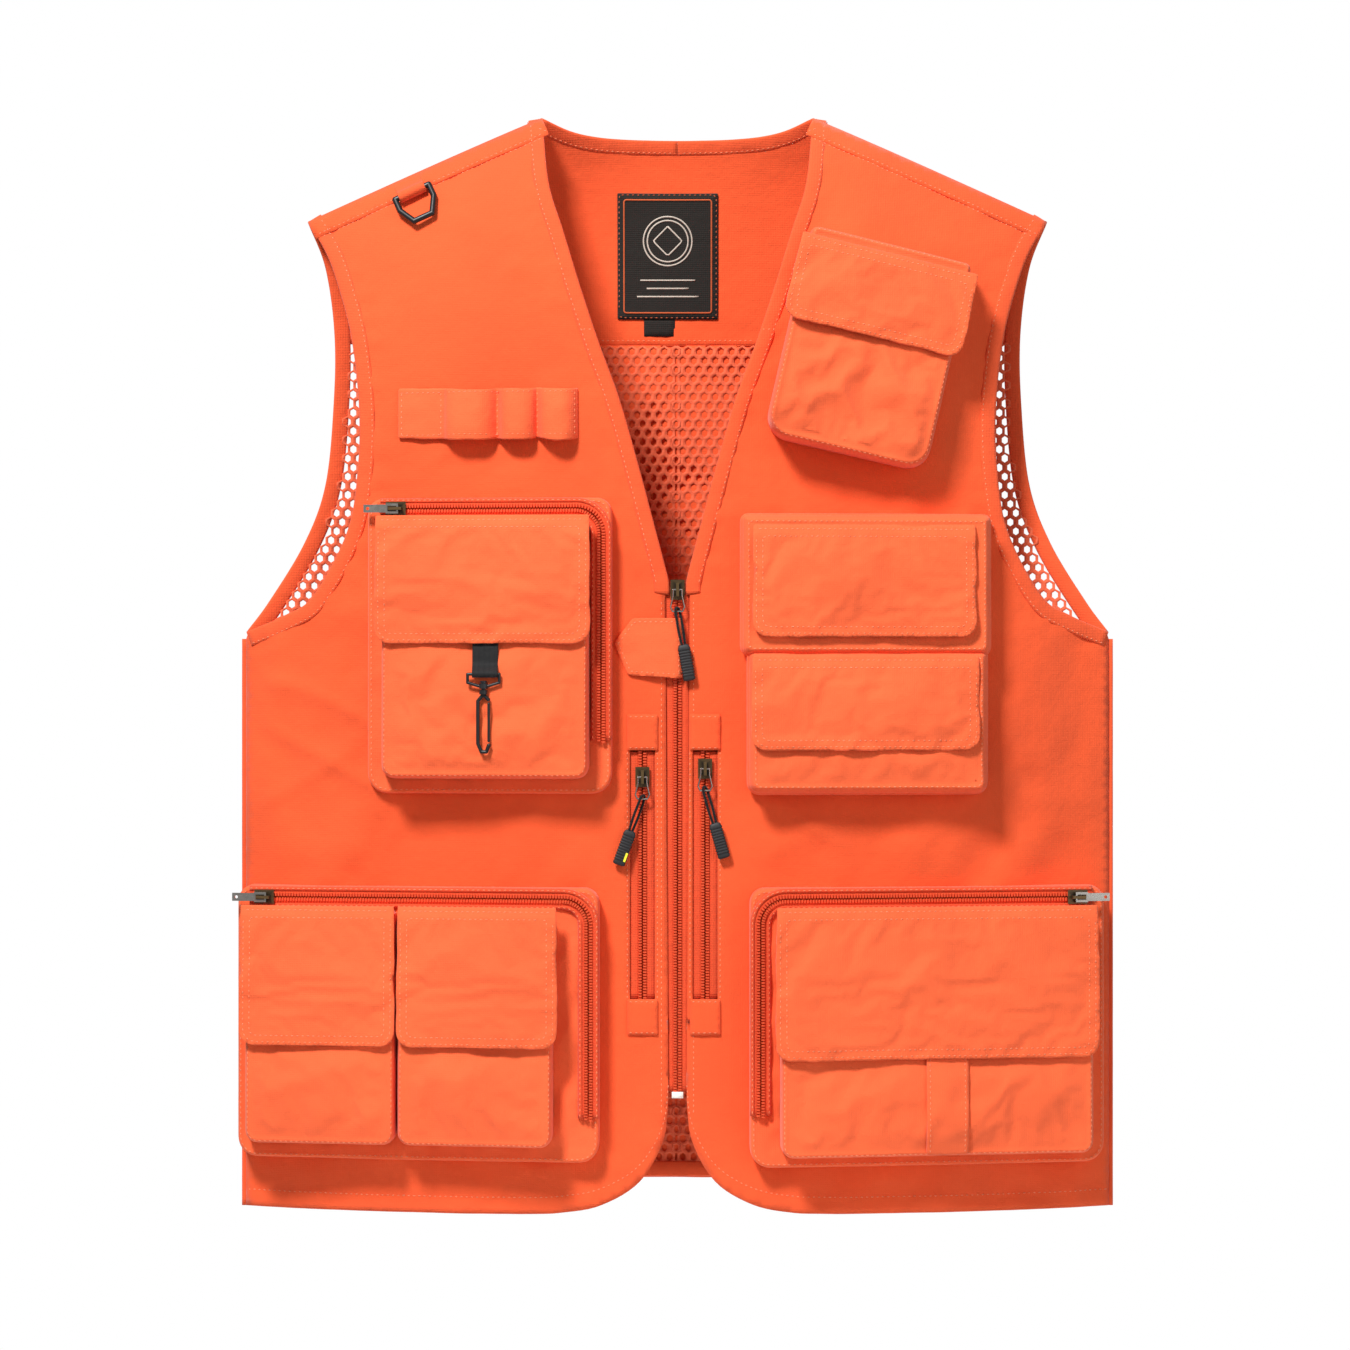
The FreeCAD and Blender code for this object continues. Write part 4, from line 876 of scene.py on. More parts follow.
bags = []
for side in (1, -1):
    x0, x1 = sorted((side * 10, side * 165))
    bags.append(panel("bag", rounded(x0, x1, -570, -358, 25, 25, 0, 6),
                      lambda x, z: plain_front(x, z) + 4.2 + 0.3 * noise(x, z, 22, 8), "lining", "lining_cloth",
                      1.7, 8.0))
obj = put(join(bags, "hand_pocket_bag_cloth"), "vest", "hand_pocket_bags")

# ------------------------------------------------------------------ back
nape = beside(NAPE_LINE, 2.0)
arm_back = beside(BACK_ARM, 2.0)


def back_outline(z_low, z_high, half, arm=arm_back):
    """Part of the back between two heights, inside the armholes, the nape and the ridge."""
    right = np.vstack([nape, smooth(RIDGE)[1:], arm[1:],
                       straight((PANEL_X, UNDERARM_Z), (PANEL_X, HEM_Z), 5)[1:]])
    whole = no_short_runs(np.vstack([right, BACK_HEM[::-1][1:-1], flip(right)[::-1][:-1]]), 0.8)
    clipped = clip(clip(clip(clip(whole, 1, z_high, -1), 1, z_low, 1), 0, half, -1), 0, -half, 1)
    ring = np.vstack([clipped, clipped[:1]])
    line = np.vstack([straight(a, b, 5)[:-1] for a, b in zip(ring[:-1], ring[1:]) if np.hypot(*(b - a)) > 0.5])
    return line if area_of(line) > 0 else line[::-1]


def clip(line, axis, value, sign):
    """Cuts a closed outline at a value of x or z; sign 1 keeps what is above it."""
    out = []
    for a, b in zip(line, np.roll(line, -1, axis=0)):
        ia, ib = (a[axis] - value) * sign >= 0, (b[axis] - value) * sign >= 0
        if ia:
            out.append(a)
        if ia != ib:
            t = (value - a[axis]) / (b[axis] - a[axis])
            out.append(a + (b - a) * t)
    return np.array(out)


def area_of(line):
    x, z = line[:, 0], line[:, 1]
    return 0.5 * float((x * np.roll(z, -1) - np.roll(x, -1) * z).sum())


yoke_pieces = [panel("yoke", back_outline(YOKE_Z - 2, 60, 300),
                     puckered(plain_back, [smooth([(-230, YOKE_Z + 4), (230, YOKE_Z + 4)])], 0.7, 9), "shell",
                     "shell_cloth", CLOTH, 4.5, back=True)]
for side in (1, -1):
    line = smooth(RIDGE, 3)
    inner = shifted(line, 12.0)
    outline = np.vstack([inner, line[::-1]])
    outline = outline if side > 0 else flip(outline)[::-1]
    outline = outline if area_of(outline) > 0 else outline[::-1]
    yoke_pieces.append(panel("yoke", outline, puckered(lambda x, z: plain_front(x, z) - 0.9, [inner * (side, 1)],
                                                       0.5, 6, 9), "shell", "shell_cloth", CLOTH, 3.5))
yoke = put(join(yoke_pieces, "back_yoke_cloth"), "vest", "back_yoke")

back_seams = [BACK_HEM + (0, 10)] + [np.array([(x, -620), (x, -130)]) for x in (-BACK_HALF, BACK_HALF)]
back_shell = panel("back_shell_cloth", back_outline(HEM_Z - 1, YOKE_Z - 1, BACK_HALF),
                   puckered(back_y, back_seams, 0.8, 9), "shell", "shell_cloth", CLOTH, 4.6, back=True)
put(back_shell, "vest", "back_shell")


# ------------------------------------------------------------------ mesh lining with real holes
def mesh_lining(outline, height, side):
    """Warp-knit mesh: staggered oval holes in strands that have a thickness."""
    pitch_x, pitch_z = 6.7, 5.6
    low, high = outline.min(0), outline.max(0)
    centres = np.array([(x + (k % 2) * pitch_x / 2, z)
                        for k, z in enumerate(np.arange(low[1], high[1], pitch_z))
                        for x in np.arange(low[0], high[0], pitch_x)])
    above_hem = centres[:, 1] > HEM_Z + 12 * (1 - (centres[:, 0] / PANEL_X) ** 2) + 4.5
    centres = centres[inside(centres, outline) & above_hem]
    angles = [90, 30, -30, -90, -150, 150]
    hexagon = np.array([(0, pitch_z * 2 / 3), (pitch_x / 2, pitch_z / 3), (pitch_x / 2, -pitch_z / 3),
                        (0, -pitch_z * 2 / 3), (-pitch_x / 2, -pitch_z / 3), (-pitch_x / 2, pitch_z / 3)])
    hole = np.array([(math.cos(math.radians(a)) * 2.0, math.sin(math.radians(a)) * 2.45) for a in angles])
    outer = centres[:, None] + hexagon[None]
    inner = centres[:, None] + hole[None] * (1 + 0.06 * noise(centres[:, 0], centres[:, 1], 9, 4))[:, None, None]
    verts, faces = [], []
    for ring, out in ((outer, 0.36), (inner, 0.12), (inner, -0.12), (outer, -0.36)):
        p = ring.reshape(-1, 2)
        y = height(p[:, 0], p[:, 1])
        verts.append(np.column_stack([p[:, 0], y - out, p[:, 1]]))
    count = len(centres) * 6
    base = np.arange(len(centres))[:, None] * 6 + np.arange(6)[None]
    following = np.arange(len(centres))[:, None] * 6 + (np.arange(6)[None] + 1) % 6
    for k in range(3):
        quads = [base + k * count, base + (k + 1) * count, following + (k + 1) * count, following + k * count]
        faces += [tuple(q) for q in np.stack(quads, -1).reshape(-1, 4)]
    middle = ((outer + np.roll(outer, -1, axis=1)) / 2 - low).reshape(-1, 2)
    middle = np.round(middle / (pitch_x / 4, pitch_z / 6)).astype(int)
    _, at, times = np.unique(middle, axis=0, return_inverse=True, return_counts=True)
    rim = np.flatnonzero(times[at.ravel()] == 1)
    base, following = base.ravel()[rim], following.ravel()[rim]
    faces += [tuple(q) for q in np.stack([base + 3 * count, base, following, following + 3 * count], -1)]
    obj = make("mesh_" + side, np.vstack(verts), faces, "mesh", "mesh_cloth")
    fix_normals(obj, 0.02)
    return obj


def mesh_y(x, z):
    return plain_back(x, z) - 1.3 + 0.4 * noise(x, z, 26, 2)


for side in ("right", "left"):
    outline = back_outline(HEM_Z + 8, YOKE_Z - 3, 256, beside(BACK_ARM, 8.4))
    half = clip(outline, 0, 0.0, 1 if side == "left" else -1)
    obj = mesh_lining(half, mesh_y, side)
    put(obj, "vest", "back_mesh_lining")

# ------------------------------------------------------------------ bindings and side tapes
def binding_profile(width, high):
    return [(-0.4, 0.0), (0.0, high * 0.75), (1.2, high), (width * 0.5, high * 1.08), (width - 1.2, high * 0.95),
            (width, high * 0.55), (width, -high * 0.55), (width - 1.2, -high * 0.95), (width * 0.5, -high),
            (1.2, -high), (0.0, -high * 0.75)]


def rippled(height, seed):
    return lambda x, z: height(x, z) - 0.22 * noise(x, z, 6.5, seed)


def binding_runs(edges, width):
    """Runs of binding on both halves of the vest; each edge is (line, height, seed, way along it)."""
    profile = binding_profile(width, 1.35)
    return [(mirrored(smooth(line, 3)[::way], side), rippled(height, seed), mirrored(profile, side))
            for side in (1, -1) for line, height, seed, way in edges]


neck_runs = binding_runs([(NECK_LINE + [(EDGE_X, V_BOTTOM_Z - 8)], plain_front, 14, -1),
                          (NAPE_LINE, plain_back, 15, 1)], 8.5)
neck_binding = put(strips("neck_binding_tape", neck_runs, "binding", "binding_cloth"), "vest", "neck_binding")
arm_runs = binding_runs([(FRONT_ARM, plain_front, 16, 1), (BACK_ARM, plain_back, 17, 1)], 9.0)
arm_binding = put(strips("armhole_binding_tape", arm_runs, "binding", "binding_cloth"), "vest", "armhole_bindings")

side_runs = []
for side in (1, -1):
    line = smooth([(side * 263.9, UNDERARM_Z - 4), (side * 263.9, HEM_Z)], 5)
    side_runs.append((line, lambda x, z: plain_back(x, z) - 0.2 + 0.3 * noise(x, z, 12, 6),
                      mirrored([(-1.5, 0), (-1.1, 1.0), (0, 1.35), (9.5, 0.6), (10, 0), (9.5, -0.6),
                                (0, -1.35), (-1.1, -1.0)], side)))
put(strips("side_seam_tape", side_runs, "binding", "binding_cloth"), "vest", "side_seam_tapes")
hem_profile = [(0.0, 1.9), (-0.6, 2.5), (-8.6, 2.4), (-9.2, 1.9), (-8.6, 1.3), (-0.6, 1.3)]
put(strips("back_hem_band", [(spaced(BACK_HEM, 5)[1:-1] + (0, 1.0), rippled(plain_back, 18), hem_profile)],
           "shell", "shell_cloth"), "vest")

# ------------------------------------------------------------------ pocket shells
def turn(points, angle, pivot):
    c, s = math.cos(math.radians(angle)), math.sin(math.radians(angle))
    d = np.asarray(points, float) - pivot
    return np.column_stack([d[:, 0] * c + d[:, 1] * s, -d[:, 0] * s + d[:, 1] * c]) + pivot


def shell(name, rect, radii, profile, base, front, step, mouth, lean):
    """Sewn box of a pocket: walls from the body to a front, with an opening for its mouth."""
    rings = []
    for inset, share in profile:
        p = turn(rounded(*rect, *radii, inset, step), *lean)
        low, high = base(p[:, 0], p[:, 1]), front(p[:, 0], p[:, 1])
        rings.append(np.column_stack([p[:, 0], low + (high - low) * share, p[:, 1]]))
    outline = rings[-1][:, [0, 2]]
    holes = [turn(rectangle_line(*mouth, step), *lean)] if mouth else []
    co, tri, first = fill(outline, step, holes)
    y = front(co[:, 0], co[:, 1])
    n = len(outline)
    count = n * (len(rings) - 1)
    verts = np.vstack(rings[:-1] + [np.column_stack([co[:, 0], y, co[:, 1]])])
    ids = [list(range(k * n, (k + 1) * n)) for k in range(len(rings) - 1)] + [[count + i for i in first]]
    faces = []
    for outer, inner in zip(ids[:-1], ids[1:]):
        faces += [(outer[i], outer[(i + 1) % n], inner[(i + 1) % n], inner[i]) for i in range(n)]
    faces += [tuple(count + i for i in t) for t in tri]
    # pocket material: the shell cloth painted lighter, a painted highlight on the raised pocket fronts
    obj = make(name, verts, faces, "pocket", "shell_cloth")
    free = np.zeros(len(verts))
    edge = distance(co, outline, True)
    for hole in holes:
        edge = np.minimum(edge, distance(co, hole, True) + 2.0)
    free[count:] = (edge > 0.5) * 1.0
    return obj, free, verts


SIM_FRAMES = 16


def relax(jobs):
    """Cloth simulation of all soft fronts together; each job is (object, free, grow, pressure, gravity, cap)."""
    if not jobs:
        return
    for obj, free, grow, pressure, gravity, _ in jobs:
        group = obj.vertex_groups.new(name="pin")
        for i, f in enumerate(free):
            group.add([i], 1.0 - float(f), "REPLACE")
        cloth = obj.modifiers.new("cloth", "CLOTH")
        s = cloth.settings
        s.quality = 6
        s.mass = 0.15
        s.tension_stiffness = s.compression_stiffness = 18
        s.shear_stiffness = 6
        s.bending_stiffness = 0.35
        s.vertex_group_mass = "pin"
        s.pin_stiffness = 6.0
        s.shrink_min = -grow
        s.use_pressure = pressure != 0
        s.uniform_pressure_force = pressure
        s.effector_weights.gravity = gravity
        cloth.collision_settings.use_collision = False
        cloth.collision_settings.use_self_collision = False
        cloth.point_cache.frame_start = 1
        cloth.point_cache.frame_end = SIM_FRAMES
    for f in range(1, SIM_FRAMES + 1):
        scene.frame_set(f)
    graph = bpy.context.evaluated_depsgraph_get()
    results = []
    for obj, *_ in jobs:
        mesh = obj.evaluated_get(graph).data
        co = np.empty(len(mesh.vertices) * 3)
        mesh.vertices.foreach_get("co", co)
        results.append(co.reshape(-1, 3))
    for (obj, *_, cap), moved in zip(jobs, results):
        start = coords(obj)
        delta = moved / MM - start
        delta[~np.isfinite(delta)] = 0
        size = np.linalg.norm(delta, axis=1) + 1e-9
        limit = np.asarray(cap) * np.ones(len(start))
        delta *= (limit * np.tanh(size / limit) / size)[:, None]
        obj.data.vertices.foreach_set("co", ((start + delta) * MM).ravel())
        obj.modifiers.clear()
        obj.vertex_groups.clear()
        obj.data.update()
    scene.frame_set(1)


BAG_PROFILE = [(0.0, 0.0), (0.0, 0.5), (0.3, 0.86), (1.0, 0.97), (2.2, 1.03), (3.6, 0.99), (6.0, 1.0)]
PATCH_PROFILE = [(0.0, 0.0), (0.2, 0.45), (0.7, 0.8), (1.7, 0.96), (3.0, 1.03), (4.4, 0.98), (7.5, 1.0)]
BELLOWS_PROFILE = [(0.0, 0.0), (-2.5, 0.2), (-3.2, 0.3), (1.2, 0.5), (-1.5, 0.72), (-1.2, 0.8), (1.0, 0.95),
                   (2.0, 1.03), (3.6, 0.98), (6.5, 1.0)]


def soft_front(plane, amount, seed, low_z=None, high_z=None, x_mid=0.0, half=1.0):
    """A pocket's front with broad unevenness that fades under its flap."""
    def height(x, z):
        rise = 1.4 * amount * folds(x, z, 15, 22, 60, seed) + 0.8 * amount * noise(x, z, 12, seed + 1)
        rise = rise + 1.2 * amount * (1 - np.abs(folds(x, z, 110, 26, 70, seed + 2))) ** 4
        if low_z is not None:
            t = np.clip((high_z - z) / (high_z - low_z), 0, 1)
            rise = rise * (0.25 + 0.75 * t) + 2.2 * np.sin(math.pi * t) * np.clip(
                1 - ((x - x_mid) / half) ** 2, 0, 1)
        return plane(x, z) - rise
    return height


def on_bag(bag):
    """The layer that a patch pocket's walls start from, a little inside its bag's front."""
    return lambda x, z: bag(x, z) - 0.4


UPRIGHT = (0.0, (0, 0))
PHONE_LEAN = (13.0, (80, -59))
# name, node, rectangle, corner radii, profile, base, front, mouth, lean (angle, pivot), cloth growth, pressure,
# bottom of its flap
specs = [
    ("chest_bag_cloth", "chest_cargo_bag", (-186, -39, -399, -222), (12, 9), BAG_PROFILE, front_y,
     soft_front(CHEST_BAG_Y, 0.5, 51), None, UPRIGHT, 0.006, 0.5, None),
    ("chest_patch_cloth", "chest_front_pocket", (-177, -52.5, -390, -234.5), (8, 5), PATCH_PROFILE,
     on_bag(CHEST_BAG_Y), soft_front(CHEST_Y, 0.7, 53, -390, -312, -115, 70),
     (-172, -57.5, -255.5, -241.5), UPRIGHT, 0.022, 3.2, -312),
    ("right_cargo_bag_cloth", "right_cargo_bag", (-266, -46.5, -619, -455), (12, 9), BAG_PROFILE, front_y,
     soft_front(CARGO_BAG_Y, 0.5, 55), None, UPRIGHT, 0.006, 0.5, None),
    ("left_cargo_bag_cloth", "left_cargo_bag", (43, 258, -622, -455), (12, 9), BAG_PROFILE, front_y,
     soft_front(LEFT_BAG_Y, 0.5, 57), None, UPRIGHT, 0.006, 0.5, None),
    ("right_cargo_outer_patch", "right_cargo_front_pockets", (-260, -168.2, -609, -467.5), (8, 5), PATCH_PROFILE,
     on_bag(CARGO_BAG_Y), soft_front(CARGO_Y, 0.7, 59, -609, -552, -214, 52),
     (-255, -173, -489, -475), UPRIGHT, 0.024, 3.0, -552),
    ("right_cargo_inner_patch", "right_cargo_front_pockets", (-167.5, -74, -609, -467.5), (8, 5), PATCH_PROFILE,
     on_bag(CARGO_BAG_Y), soft_front(CARGO_Y, 0.7, 61, -609, -552, -121, 52),
     (-163, -79, -489, -475), UPRIGHT, 0.024, 3.0, -552),
    ("left_cargo_patch", "left_cargo_front_pocket", (61, 250, -615, -467.5), (8, 5), PATCH_PROFILE,
     on_bag(LEFT_BAG_Y), soft_front(LEFT_Y, 0.8, 63, -615, -559, 155, 105),
     (67, 244, -489, -475), UPRIGHT, 0.022, 3.0, -559),
    ("upper_bellows_cloth", "upper_bellows_pocket", (40, 186, -314.7, -234), (4, 2), BELLOWS_PROFILE, front_y,
     soft_front(BELLOWS_Y, 0.6, 65), (50, 172, -255, -243), UPRIGHT, 0.016, 1.6, -320),
    ("lower_bellows_cloth", "lower_bellows_pocket", (44, 184, -397, -315), (5, 2), BELLOWS_PROFILE, front_y,
     soft_front(BELLOWS_Y, 0.8, 67), (52, 172, -336, -324), UPRIGHT, 0.02, 2.4, -374),
    ("phone_pocket_cloth", "phone_pocket", (80, 180, -188, -59), (14, 5), PATCH_PROFILE, front_y,
     soft_front(PHONE_Y, 1.3, 69, -205, -118, 118, 70), (85, 175, -80, -66), PHONE_LEAN, 0.04, 5.0, -122),
]
jobs = []
POCKETS = {}
for name, node, rect, radii, profile, base, front, mouth, lean, grow, pressure, cover in specs:
    obj, free, verts = shell(name, rect, radii, profile, base, front, 3.8, mouth, lean)
    z = turn(verts[:, [0, 2]], -lean[0], lean[1])[:, 1]
    cap = np.full(len(verts), 1.6)
    if cover is not None:
        cap = 1.0 + (6.5 if name != "phone_pocket_cloth" else 11.0) * ramp(cover - z, 16)
    POCKETS[name] = (obj, node)
    jobs.append((obj, free, grow, pressure, 0.15, cap))

# ------------------------------------------------------------------ flaps
# rectangle, layer, lean, flat size
FLAPS = {
    "chest_cargo_flap": ((-180, -52.5, -309, -234.5), CHEST_Y, UPRIGHT, (0.128, 0.077)),
    "right_cargo_outer_flap": ((-262, -169.2, -549, -467.5), CARGO_Y, UPRIGHT, (0.094, 0.084)),
    "right_cargo_inner_flap": ((-166.8, -72, -549, -467.5), CARGO_Y, UPRIGHT, (0.096, 0.084)),
    "left_cargo_flap": ((59, 252, -556, -467.5), LEFT_Y, UPRIGHT, (0.194, 0.091)),
    "upper_bellows_flap": ((45, 178, -305, -240), BELLOWS_Y, UPRIGHT, (0.134, 0.067)),
    "lower_bellows_flap": ((44.5, 180, -372.5, -318), BELLOWS_Y, UPRIGHT, (0.137, 0.057)),
    "phone_flap": ((76, 184, -117, -67), PHONE_Y, PHONE_LEAN, (0.109, 0.053)),
}
FLAP_SHAPES = {}
for seed, (name, (rect, plane, lean, _)) in zip(range(71, 92, 3), FLAPS.items()):
    x0, x1, z0, z1 = rect
    outline = rounded(x0, x1, z0, z1 + 1.6, 9, 1.0, 0, 3.4)
    co, tri, _ = fill(outline, 3.4)
    t = np.clip((z1 - co[:, 1]) / (z1 - z0), 0, 1)
    u = (co[:, 0] - (x0 + x1) / 2) / ((x1 - x0) / 2)
    out = 0.7 + 2.1 * ramp(z1 + 1.0 - co[:, 1], 6) + 1.6 * np.sin(math.pi * np.clip(t, 0, 1)) * (1 - u * u * 0.6) \
        + 1.5 * t * t + 1.5 * t * noise(co[:, 0], co[:, 1], 27, seed) + 0.7 * noise(co[:, 0], co[:, 1], 8, seed + 1) \
        * np.exp(-((distance(co, outline, True) - 4) / 6) ** 2)
    if name == "chest_cargo_flap":
        out = out + 1.8 * t * t * np.exp(-((co[:, 0] + 114) / 13) ** 2)
    p = turn(co, *lean)
    y = plane(p[:, 0], p[:, 1]) - out
    # pocket material: the shell cloth painted lighter, a painted highlight on the raised flaps
    obj = make(name + "_cloth", np.column_stack([p[:, 0], y, p[:, 1]]), tri, "pocket", "shell_cloth")
    free = 1 - np.clip(np.maximum(1 - ramp(z1 - 2.0 - co[:, 1], 10), 0.30 * t ** 2 * (1 - 0.5 * u * u)), 0, 1)
    free = np.where(co[:, 1] > z1 - 3, 0, np.minimum(free, 0.96))
    jobs.append((obj, free, 0.018, 0.8, 0.1, 3.0 * ramp(z1 - co[:, 1], 14) + 0.2))
    FLAP_SHAPES[name] = obj

relax(jobs)

for name, (rect, plane, lean, flat) in FLAPS.items():
    obj = FLAP_SHAPES[name]
    thicken(obj, 1.3, 1)
    x0, x1, z0, z1 = rect
    top, low = turn([(x0, z1 + 0.4), (x0, z1 - 5.5)], *lean)
    top_y = float(plane(top[0], top[1])) - 2.2
    float(plane(low[0], low[1]) - 2.2) * MM
    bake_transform(obj)
    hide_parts(name)

for name, (obj, node) in POCKETS.items():
    thicken(obj, 0.9, 1)
    put(obj, "vest", node)


# ------------------------------------------------------------------ pocket zips
ZIP_TURN_R = 15.0


def zip_path(x_start, x_turn, z_run, z_end):
    r = ZIP_TURN_R
    s = 1 if x_turn > x_start else -1
    cx, cz = x_turn - s * r, z_run - r
    arc = [(cx + s * r * math.sin(a), cz + r * math.cos(a)) for a in np.linspace(0, math.pi / 2, 14)]
    return np.vstack([straight((x_start, z_run), arc[0])[:-1], arc, straight(arc[-1], (x_turn, z_end))[1:]])


def teeth(name, runs):
    parts = []
    for line, height, low, high in runs:
        line = spaced(line, 1.7)
        n = normals(line)
        way = np.gradient(line, axis=0)
        way /= np.hypot(way[:, 0], way[:, 1])[:, None]
        for side in (1, -1):
            p = line + n * side * 1.42 + (way * 0.85 if side < 0 else 0)
            at = np.column_stack([p[:, 0], height(p[:, 0], p[:, 1]) - low, p[:, 1]])
            ahead = np.column_stack([way[:, 0], np.zeros(len(p)), way[:, 1]])
            aside = np.column_stack([n[:, 0], np.zeros(len(p)), n[:, 1]])
            parts.append(boxes(at, ahead, aside, np.array([0.0, -1.0, 0.0]), 1.15, 2.5, high))
    return make(name, *pooled(parts), "coil", "zip_tape", False)


ZIPS = {"chest_cargo_zip": (zip_path(-178, -45.5, -228.5, -367), CHEST_BAG_Y),
        "right_cargo_zip": (zip_path(-258, -53, -461.5, -592), CARGO_BAG_Y),
        "left_cargo_zip": (zip_path(250, 49.5, -461.5, -590), LEFT_BAG_Y)}
for name, (line, height) in ZIPS.items():
    runs = [(line, height, tape_profile(*ends, 0.7, 2.0)) for ends in ((0.6, 4.5), (-4.5, -0.6))]
    welt = [(3.6, 1.2), (3.8, 2.9), (4.8, 3.1), (6.0, 2.2), (6.4, 0.4), (4.0, 0.4)]
    runs += [(line, height, mirrored(welt, side)) for side in (1, -1)]
    tape = put(strips(name + "_tape", runs, "tape", "zip_tape"), "vest", name)
    put(teeth(name + "_teeth", [(line, height, 2.3, 1.35)]), "vest")
    put(stitches(name + "_stitches", tree_of(tape), [shifted(line, 5.0), shifted(line, -5.0)], slot="zip_tape"),
        "vest")

# ------------------------------------------------------------------ front zips
main_line = straight((0.0, V_BOTTOM_Z - 4), (0.0, HEM_Z + 74))
halves = [tape_profile(*ends, 0.8, -1.3) for ends in ((0.6, 8.0), (-8.0, -0.6))]
runs = [(main_line, plain_front, half) for half in halves]
put(strips("main_zip_tape", runs, "tape", "zip_tape"), "vest", "main_zip")
put(teeth("main_zip_teeth", [(main_line, plain_front, -1.0, 1.4)]), "vest")
stop = strips("main_zip_stop", [(np.array([(-3.4, HEM_Z + 71.7), (0.0, HEM_Z + 71.7), (3.4, HEM_Z + 71.7)]),
                                 plain_front, [(1.9, -1.2), (1.9, 1.0), (1.3, 1.7), (-1.3, 1.7), (-1.9, 1.0),
                                               (-1.9, -1.2)])], "white_plastic", "zip_tape")
put(stop, "vest")
hand_lines = [straight((x, -374.0), (x, -522.0)) for x in HAND_ZIP_X]
runs = [(line, plain_front, half) for line in hand_lines for half in halves]
put(strips("hand_zip_tapes", runs, "tape", "zip_tape"), "vest", "hand_zips")
put(teeth("hand_zip_teeth", [(line, plain_front, -1.0, 1.4) for line in hand_lines]), "vest")
patches = []
for x in HAND_ZIP_X:
    for z0, z1 in ((-373, -351.5), (-543.5, -522)):
        outline = rounded(x - 9.2, x + 9.2, z0, z1, 1.0, 1.0, 0, 3)
        height = puckered(lambda px, pz: plain_front(px, pz) - 1.35, [outline], 0.3, 5, 88)
        patches.append(panel("patch", outline, height, "shell", "shell_cloth", 0.8, 3.0))
patch_cloth = put(join(patches, "hand_zip_patch_cloth"), "vest", "hand_zip_patches")

# ------------------------------------------------------------------ tab across the zip
tab_line = polygon([(-38, -309), (-29.5, -328), (3, -330), (3, -294), (-27, -294)], 3)


def tab_y(x, z):
    return plain_front(x, z) - 1.5 - 2.4 * ramp(3.0 - x, 3.0) * ramp(x + 30, 18) - 0.4 * noise(x, z, 9, 95)


tab = panel("zip_tab_cloth", tab_line, tab_y, "pocket", "shell_cloth", 1.3, 3.0, subdivide=1)
tab_tree = tree_of(tab)
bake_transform(tab)
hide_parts("zip_tab")

# ------------------------------------------------------------------ neck label
def label_y(lift):
    return lambda x, z: plain_back(x, z) - 1.3 - lift - 0.25 * noise(x, z, 30, 97)


label = panel("neck_label_cloth", rounded(-37, 25, -108, -31, 0.8, 0.8, 0, 4), label_y(0), "label", "label_cloth",
              0.8, 4.0)
tab_piece = panel("size_tab", rounded(-20.7, -1.5, -118.5, -106, 0.5, 0.5, 0, 3), label_y(-0.5), "label",
                  "label_cloth", 0.6, 4.0)
put(join([label, tab_piece], "neck_label_cloth"), "vest", "neck_labels")
flat_bar = [(-0.45, 0.45), (0.45, 0.45), (0.45, 0.8), (-0.45, 0.8)]


def ring_line(x, z, r):
    a = np.linspace(0, 2 * math.pi, 48, endpoint=False)
    return np.column_stack([x + r * np.cos(a), z + r * np.sin(a)])


prints = [(rounded(-33, 21, -104, -35, 1.5, 1.5, 0, 3), label_y(0), flat_bar, True)]
put(strips("neck_label_border", prints, "label_print", "label_cloth"), "vest")
marks = [(ring_line(-6, -60, r), label_y(0), flat_bar, True) for r in (15, 12.6)]
marks += [(spaced(np.array([(-6, -51), (3, -60), (-6, -69), (-15, -60), (-6, -51.0)]), 2), label_y(0), flat_bar)]
for z, half in ((-84, 17), (-89, 13), (-94, 19)):
    marks.append((straight((-6 - half, z), (-6 + half, z), 3), label_y(0), flat_bar))
put(strips("neck_label_emblem", marks, "label_pale", "label_cloth"), "vest")


# ------------------------------------------------------------------ tool loops, D-ring keeper, hook strap
def grid_sheet(name, points, material, slot, thick):
    """Cloth over a grid of points, shape (rows, columns, 3)."""
    rows, columns = points.shape[:2]
    faces = [(i * columns + j, i * columns + j + 1, (i + 1) * columns + j + 1, (i + 1) * columns + j)
             for i in range(rows - 1) for j in range(columns - 1)]
    obj = make(name, points.reshape(-1, 3), faces, material, slot)
    thicken(obj, thick, 1, 0.0)
    return obj


loop_line, loop_x = [(-168.0, 0.0), (-143.0, 0.0)], -143.0
for span in (35.0, 24.0, 24.0):
    loop_line += [(loop_x + 0.16 * span, 5.5), (loop_x + 0.34 * span, 8.2), (loop_x + 0.66 * span, 8.2),
                  (loop_x + 0.86 * span, 5.2), (loop_x + span, 0.0)]
    loop_x += span
loop_line = smooth(loop_line, 1.8)
loop_rows = np.linspace(-186, -156, 13)
loop_grid = np.zeros((len(loop_rows), len(loop_line), 3))
for i, z in enumerate(loop_rows):
    x, out = loop_line[:, 0], np.maximum(loop_line[:, 1], 0)
    sag = 1.0 + 0.16 * math.cos((z + 171) / 30 * math.pi) + 0.12 * (-(z + 171) / 15)
    drop = -1.6 * (out / 8.2) * (1 if z < -171 else 0.6)
    zz = z + drop + 0.5 * noise(x, z + x * 0, 9, 101)
    y = plain_front(x, zz) - 1.5 - out * sag - 0.5 * noise(x, zz, 7, 103)
    loop_grid[i] = np.column_stack([x, y, zz])
loops = put(grid_sheet("tool_loop_band", loop_grid, "pocket", "shell_cloth", 1.1), "vest", "tool_loops")

